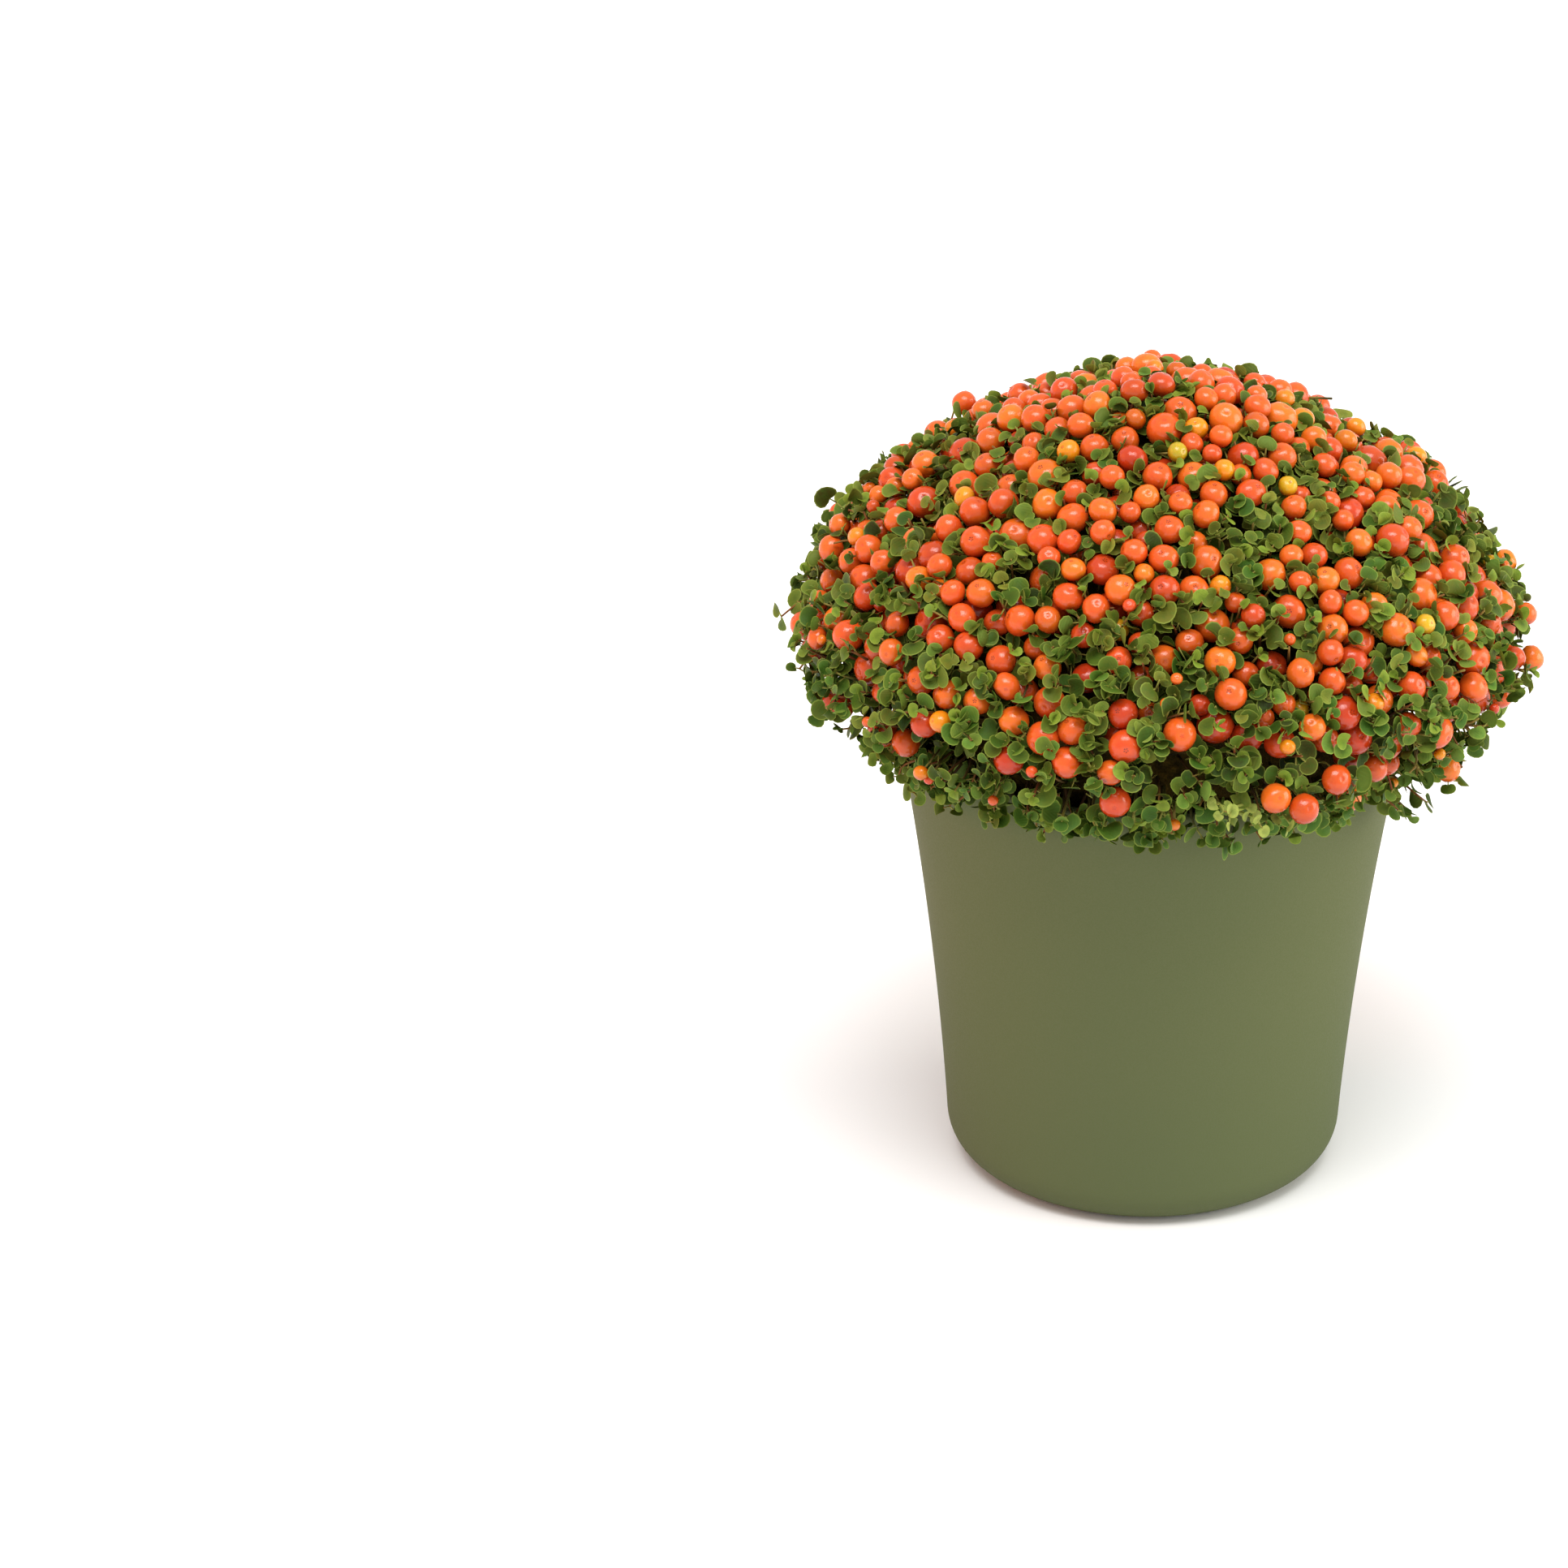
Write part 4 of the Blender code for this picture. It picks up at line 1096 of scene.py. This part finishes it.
class Growth:
    """The leaves and stems grown so far."""

    def __init__(self, envelope, berries):
        self.envelope = envelope
        self.berries = berries
        self.random = random_stream(3)
        self.leaves = []
        self.end_berries = []
        self.stems = {tuft: Parts() for tuft in TUFTS}
        self.tree = tree_of(berries)

    def bends(self, kinds):
        """A leaf's curl, cup and twist, each from its mean and spread."""
        return [self.random.normal(mean, spread) for mean, spread in kinds]

    def add_stem(self, points, radii, sides, tone, tuft, deep=0.0):
        """A stem along points. deep says how near its root each of them is."""
        shape, faces = tube(points, radii, sides)
        deep = np.repeat(np.broadcast_to(deep, len(points)), sides)
        self.stems[tuft].add(shape, faces, stem_tone=np.full(len(shape), tone), stem_deep=deep)

    def add_leaf(self, node, direction, axis, size, petiole, rise, tone, tuft, normal):
        """One leaf on its petiole, on a stem that runs along axis."""
        random = self.random
        up_angle = math.radians(rise + random.normal(0, RISE_SPREAD))
        start_angle = up_angle + PETIOLE_LIFT
        start = (direction * math.cos(start_angle) + axis * math.sin(start_angle)).normalized()
        base = node + start * petiole
        along = (direction * math.cos(up_angle) + axis * math.sin(up_angle)).normalized()
        face = (axis * math.cos(up_angle) - direction * math.sin(up_angle)).normalized()
        face = Quaternion(along, random.normal(0, ROLL_SPREAD)) @ face
        length = LEAF_LENGTH * size * (1 + random.normal(0, LENGTH_SPREAD))
        bends = self.bends(SPRIG_BENDS)
        self.leaves.append(Leaf(node, base, along, face, normal, length, *bends, tone, tuft))

    def drop_covering_leaves(self):
        """Lays leaves beside the berries, takes away most of those that would hide one and those that
        would have to go too far, then adds the stems of the rest."""
        out = gather(self.leaves, "out")
        points = blade_points(self.leaves)
        moves = settle(points, self.berries)
        for leaf, move in zip(self.leaves, moves):
            leaf.base = leaf.base + Vector(move)
        shares = cover_shares(points, out, self.berries)
        draws = self.random.uniform(size=len(shares))
        kept = (shares < MOST_COVER) | (draws < KEPT_COVERS)
        kept &= np.linalg.norm(moves, axis=1) < FARTHEST_MOVE
        self.leaves = [leaf for leaf, keep in zip(self.leaves, kept) if keep]
        radii = (PETIOLE_RADIUS, PETIOLE_RADIUS * 0.8)
        for leaf in self.leaves:
            end = leaf.base + leaf.along * leaf.size * PETIOLE_OVERLAP
            self.add_stem((leaf.node, end), radii, 3, 0.15 + 0.2 * self.random.uniform(), leaf.tuft)

    def add_sprig(self, tip, axis, root, nodes, normal, tuft, bright, hue):
        """A stem from root to tip that carries pairs of leaves, each pair square to the next."""
        random = self.random
        bow = tip - axis * SPRIG_DEPTH * 0.45
        steps = [root.lerp(bow, s).lerp(bow.lerp(tip, s), s) for s in np.linspace(0, 1, SPRIG_STEPS)]
        radii = np.linspace(1.3, 0.7, SPRIG_STEPS) * STEM_RADIUS
        brown = random.uniform(0.1, 0.95)
        self.add_stem(steps, radii, 4, brown, tuft, np.linspace(1, 0, SPRIG_STEPS))
        spin = random.uniform(0, FULL_TURN)
        side = side_vector(axis)
        shade = float(np.clip(random.normal(0.5, 0.20), 0, 1))
        for index in range(nodes):
            place = tip - axis * NODE_PLACES[index]
            for half in range(2):
                turn = spin + index * math.pi / 2 + half * math.pi + random.normal(0, 0.40)
                direction = Quaternion(axis, turn) @ side
                # Pairs further down from the tip are painted darker: partly older leaves, partly painted
                # shade deep in the cushion.
                leaf_shade = np.clip(shade + random.normal(0, 0.10) - 0.13 * index + 0.14, 0, 1)
                fresh = bright * NODE_FRESH[index]
                petiole = NODE_PETIOLES[index] * random.uniform(0.7, 1.3)
                size = NODE_SIZES[index] * random.uniform(0.88, 1.12)
                tone = (leaf_shade, fresh, np.clip(hue + random.normal(0, 0.12), 0, 1))
                rise = NODE_RISES[index]
                self.add_leaf(place, direction, axis, size, petiole, rise, tone, tuft, normal)

    def grow_cushion(self):
        """Sprigs spread evenly over the cushion, shifted aside or lower where a berry is in the way."""
        random = self.random
        golden = math.pi * (3 - math.sqrt(5))
        spacing = math.sqrt(self.envelope.area / SPRIGS)
        for index in range(SPRIGS):
            share = (index + 0.5 + random.normal(0, SPRIG_SHUFFLE)) / SPRIGS
            share = min(max(share, 0.001), 0.995)
            if random.uniform() < np.interp(share, GAP_SHARES, GAP_CHANCES):
                continue
            azimuth = index * golden + random.normal(0, SPRIG_STRAY) * spacing / STRAY_RADIUS
            point, normal = self.envelope.at(share, azimuth)
            tuft = tuft_of(point)
            depth = np.interp(share, TIP_SHARES, TIP_DEPTHS)
            depth += abs(random.normal(0.0, 1.0)) * TIP_SPREAD
            wild = Vector(random.normal(0.0, SPRIG_TILT, 3))
            axis = (normal + UP * SPRIG_RISE + wild).normalized()
            tip = self.clear_of_berries(point - normal * depth, normal)
            root = tip - (normal * 0.8 + axis * 0.5).normalized() * SPRIG_DEPTH
            root += Vector(random.normal(0.0, ROOT_SPREAD, 3))
            bright = 1.0 if random.uniform() < FRESH_SPRIGS else 0.25
            hue = np.interp(share, HUE_SHARES, HUES) + random.normal(0, HUE_SPREAD)
            nodes = 3 if share < LOOSE_FROM else 2
            self.add_sprig(tip, axis, root, nodes, normal, tuft, bright, hue)

    def clear_of_berries(self, tip, normal):
        """The tip, moved aside where it would stand in or over a berry, or else below that berry."""
        for _ in range(2):
            berry = self.berries[self.tree.find(tip)[1]]
            away = tip - berry.centre
            height = away.dot(normal)
            lateral = away - normal * height
            if lateral.length < berry.radius + TIP_NEAR_BERRY:
                if lateral.length < 1e-6:
                    lateral = side_vector(normal)
                beside_it = lateral.normalized() * (berry.radius + TIP_BESIDE_BERRY)
                tip = berry.centre + normal * height + beside_it
        _, index, distance = self.tree.find(tip)
        radius = self.berries[index].radius
        return tip - normal * (2 * radius) if distance < radius else tip

    def grow_old_leaves(self):
        """Older leaves that lie every way deep in the cushion."""
        random = self.random
        for _ in range(OLD_LEAVES):
            share = random.uniform(0.0, 0.98)
            point, normal = self.envelope.at(share, random.uniform(0.0, FULL_TURN))
            depth = random.uniform(*OLD_LEAF_DEPTHS) - np.interp(share, OLD_LEAF_SHARES, OLD_LEAF_RISES)
            base = point - normal * depth
            if random.uniform() < np.interp(share, OLD_GAP_SHARES, OLD_GAP_CHANCES):
                continue
            along = Vector(random.normal(0.0, 1.0, 3)).normalized()
            face = (normal + Vector(random.normal(0.0, 0.7, 3))).normalized()
            along = (along - face * along.dot(face)).normalized()
            # Old leaves are painted dark, partly for age and partly as shade deep in the cushion, and less
            # so near the top.
            light = random.uniform(0.0, 0.20) + np.interp(share, OLD_LEAF_SHARES, OLD_LEAF_PAINTED_LIGHTENING)
            tone = (light, 0.0, random.uniform(0.0, 0.8))
            length = LEAF_LENGTH * random.uniform(0.8, 1.15)
            node = base - along * 0.002 - normal * 0.002
            bends = self.bends(OLD_LEAF_BENDS)
            self.leaves.append(Leaf(node, base, along, face, normal, length, *bends, tone, tuft_of(base)))

    def grow_along(self, path, pairs, size, fresh, tone):
        """A thin stem along a path, with pairs of leaves on its outer part."""
        random = self.random
        tuft = tuft_of(path[0])
        self.add_stem(path, np.linspace(1.15, 0.75, len(path)) * STEM_RADIUS, 5, tone, tuft)
        shade = random.uniform(0.35, 0.75)
        for pair in range(pairs):
            place = (FIRST_PAIR + (1 - FIRST_PAIR) * pair / max(pairs - 1, 1)) * (len(path) - 1)
            here = min(int(place), len(path) - 2)
            node = path[here].lerp(path[here + 1], place - here)
            axis = (path[here + 1] - path[here]).normalized()
            out = Vector((node.x, node.y, 0.0)).normalized()
            face = (out * 0.4 + UP * 0.6 + Vector(random.normal(0.0, 0.60, 3))).normalized()
            side = axis.cross(face).normalized()
            for half in (-1, 1):
                along = (side * half + axis * random.uniform(-0.1, 0.8)).normalized()
                blade_face = (face - along * face.dot(along)).normalized()
                length = LEAF_LENGTH * size * random.uniform(0.85, 1.15) * (1 - 0.2 * pair / pairs)
                base = node + along * random.uniform(0.0008, 0.0016)
                bends = self.bends(LOOSE_BENDS)
                look = (np.clip(shade + random.normal(0, 0.1), 0, 1), fresh, random.uniform(0, 0.7))
                self.leaves.append(Leaf(node, base, along, blade_face, out, length, *bends, look, tuft))

    def path_to(self, azimuth, radius, z, start_z, inside=PATH_INSIDE):
        """A path from inside the cushion to an end outside it, a little bowed and wavy."""
        turn = math.radians(azimuth)
        out = Vector((math.cos(turn), math.sin(turn), 0.0))
        aside = Vector((-out.y, out.x, 0.0))
        start = out * (self.envelope.radius_at(start_z) - inside) + UP * start_z
        end = out * radius + UP * z
        sway = self.random.normal(0, PATH_SWAY, 2)
        path = []
        for s in np.linspace(0, 1, PATH_STEPS):
            wave = sway[0] * math.sin(2.4 * s) + sway[1] * math.sin(5.0 * s)
            path.append(start.lerp(end, s) + aside * wave + UP * PATH_BOW * math.sin(math.pi * s))
        return path

    def grow_stragglers(self):
        """Loose stems that hang out of the cushion, loose berries, and what sprouts at the lip."""
        random = self.random
        for azimuth, radius, z, pairs, size in STRAGGLERS:
            path = self.path_to(azimuth, radius, z, z + HANG)
            self.grow_along(path, pairs, size, random.uniform(0.1, 0.6), 0.75)
        for azimuth, radius, z, berry_radius in LOOSE_BERRIES:
            path = self.path_to(azimuth, radius, z, min(z, CUSHION_WIDEST_Z))
            self.add_stem(path, np.full(len(path), STALK_RADIUS), 4, 0.3, tuft_of(path[0]))
            self.end_berries.append((path[-1], berry_radius))
        for azimuth, radius, z in PALE_SPRIGS:
            path = self.path_to(azimuth, radius, z, z - PALE_RISE, PALE_INSIDE)
            self.grow_along(path, 3, PALE_SIZE, PALE_FRESH, 0.1)
        for _ in range(LIP_SPRIGS):
            end_z = random.uniform(*LIP_SPRIG_HEIGHTS)
            radius = self.envelope.radius_at(max(end_z, LIP_Z_SIDE)) + random.uniform(-0.001, 0.003)
            path = self.path_to(random.uniform(0, 360), radius, end_z, end_z + HANG)
            size, fresh = random.uniform(0.65, 1.0), random.uniform(0.0, 1.0)
            self.grow_along(path, 5, size, fresh, random.uniform(0, 1))
        for _ in range(LIP_RUNNERS):
            azimuth = random.uniform(0, 360)
            self.grow_runner(azimuth, random.uniform(*RUNNER_SWEEPS) * random.choice((-1, 1)))
        for _ in range(THICKET_SPRIGS):
            end_z = random.uniform(*THICKET_HEIGHTS)
            radius = self.envelope.radius_at(end_z) + random.uniform(-0.003, 0.001)
            path = self.path_to(random.uniform(*THICKET_AZIMUTHS), radius, end_z, end_z + HANG)
            self.grow_along(path, 5, random.uniform(0.7, 1.0), random.uniform(0.0, 0.8), 0.5)

    def grow_runner(self, azimuth, sweep):
        """A nearly bare stem that runs along the lip."""
        random = self.random
        heights = random.uniform(*RUNNER_HEIGHTS, 3)
        radii = LIP_RADIUS + random.uniform(-0.0005, 0.0030, 3)
        path = []
        for s in np.linspace(0, 1, RUNNER_STEPS):
            turn = math.radians(azimuth + sweep * s)
            radius = np.interp(s, (0, 0.5, 1), radii) - 0.005 * (1 - s) ** 4
            z = np.interp(s, (0, 0.5, 1), heights) + 0.0015 * math.sin(math.pi * s)
            path.append(Vector((radius * math.cos(turn), radius * math.sin(turn), z)))
        self.grow_along(path, 3, random.uniform(0.45, 0.8), random.uniform(0.3, 1.0), random.uniform(0, 1))

    def add_end_berries(self):
        """The berries of the loose stems, in place of any that they would touch."""
        for place, radius in self.end_berries:
            self.berries[:] = [berry for berry in self.berries
                               if (berry.centre - place).length > berry.radius + radius]
            out = Vector((place.x, place.y, 0.0)).normalized()
            axis = (out + UP * 0.5).normalized()
            self.berries.append(Berry(place, radius, axis, tuft_of(place), self.random.uniform(0.6, 1.0)))

    def grow_stalks(self):
        """A short stalk under each berry."""
        for berry in self.berries:
            foot = berry.centre - berry.axis * (berry.radius * 0.85)
            end = foot - berry.axis * STALK_LENGTH
            self.add_stem((foot, end), (STALK_RADIUS, STALK_RADIUS * 1.2), 4, 0.35, berry.tuft, (0.0, 1.0))

    def build(self, leaf, stem):
        build_leaves(self.leaves, self.berries, leaf)
        for tuft in TUFTS:
            add_tuft_piece(tuft, "stems", self.stems[tuft].mesh(), stem)


def build_mat(envelope, tuft, material):
    """The closed body of old stems inside a tuft, a little below the leaves. Its sections stand round
    the pot's axis, and each one runs from the crown down to the soil."""
    in_crown = tuft == TUFTS[0]
    above = slice(CUSHION_STEPS)
    crown_share = float(np.interp(CROWN_RADIUS, envelope.radius[above], envelope.share[above]))
    foot = [(CROWN_RADIUS, SOIL_TOP + GAP)]
    if in_crown:
        shares = np.linspace(0.0, crown_share, MAT_CROWN_STEPS)[1:]
        turns = FULL_TURN * np.arange(MAT_SWEEP * 2) / (MAT_SWEEP * 2)
    else:
        shares = np.linspace(crown_share, 1.0, MAT_STEPS)
        half = math.pi / RING_TUFTS
        middle = TUFTS.index(tuft) * 2 * half - 2 * half - math.pi / 2
        turns = np.linspace(middle - half, middle + half, MAT_SWEEP)
        foot = [(NECK_RADIUS, POT_HEIGHT + NECK_ABOVE_POT), (NECK_LOW_RADIUS, SOIL_TOP + GAP)] + foot
    points = []
    for turn in turns:
        for share in shares:
            point, normal = envelope.at(share, turn)
            points.append(point - normal * np.interp(share, MAT_SHARES, MAT_DEPTHS))
        side = Vector((math.cos(turn), math.sin(turn), 0.0))
        points += [side * radius + UP * z for radius, z in foot]
    count = len(shares) + len(foot)
    if in_crown:
        around = [(here * count, (here + 1) % len(turns) * count) for here in range(len(turns))]
        faces = [(here + spot, here + spot + 1, there + spot + 1, there + spot)
                 for here, there in around for spot in range(count - 1)]
        top, normal = envelope.at(0.0, 0.0)
        points.append(top - normal * MAT_DEPTH)
        faces += [(len(points) - 1, here, there) for here, there in around]
        faces.append(tuple(here + count - 1 for here, _ in reversed(around)))
    else:
        faces = capped_grid(len(turns), count)
    add_tuft_piece(tuft, "old_growth", make_mesh(points, faces), material)


def build_floor():
    far = FLOOR_SIZE
    corners = [(-far, -far, 0.0), (far, -far, 0.0), (far, far, 0.0), (-far, far, 0.0)]
    mesh = make_mesh(corners, [(0, 1, 2, 3)])
    mesh.materials.append(floor_material())
    floor = bpy.data.objects.new("floor", mesh)
    bpy.context.scene.collection.objects.link(floor)


def add_sun(name, azimuth, elevation, power, spread, tint):
    """A broad light from far away, which comes from the given azimuth and elevation."""
    light = bpy.data.lights.new(name, "SUN")
    light.energy = power
    light.angle = math.radians(spread)
    light.color = tint
    lamp = bpy.data.objects.new(name, light)
    turn, rise = math.radians(azimuth), math.radians(elevation)
    to_light = Vector((math.cos(turn) * math.cos(rise), math.sin(turn) * math.cos(rise), math.sin(rise)))
    lamp.rotation_mode = "QUATERNION"
    lamp.rotation_quaternion = (-to_light).to_track_quat("-Z", "Y")
    bpy.context.scene.collection.objects.link(lamp)


def light_scene():
    world = bpy.data.worlds.new("studio")
    world.use_nodes = True
    background = world.node_tree.nodes["Background"]
    background.inputs["Color"].default_value = (*WHITE, 1.0)
    background.inputs["Strength"].default_value = SKY_STRENGTH
    bpy.context.scene.world = world
    for lamp in LAMPS:
        add_sun(*lamp)


def add_camera():
    data = bpy.data.cameras.new("camera")
    data.sensor_width = SENSOR_WIDTH
    data.lens = CAMERA_LENS
    camera = bpy.data.objects.new("camera", data)
    camera.location = CAMERA_PLACE
    camera.rotation_euler = (math.radians(90 - CAMERA_DOWN), 0.0, math.radians(CAMERA_TURN))
    bpy.context.scene.collection.objects.link(camera)
    bpy.context.scene.camera = camera


def main():
    bpy.context.scene.view_settings.view_transform = "Standard"
    build_pot(pot_material())
    build_soil(soil_material())
    envelope = Envelope()
    berries = place_berries(envelope)
    growth = Growth(envelope, berries)
    growth.grow_cushion()
    growth.grow_old_leaves()
    growth.grow_stragglers()
    growth.add_end_berries()
    build_berries(berries, berry_material())
    growth.drop_covering_leaves()
    growth.grow_stalks()
    growth.build(leaf_material(), stem_material())
    mat = mat_material()
    for tuft in TUFTS:
        build_mat(envelope, tuft, mat)
    build_floor()
    light_scene()
    add_camera()


main()
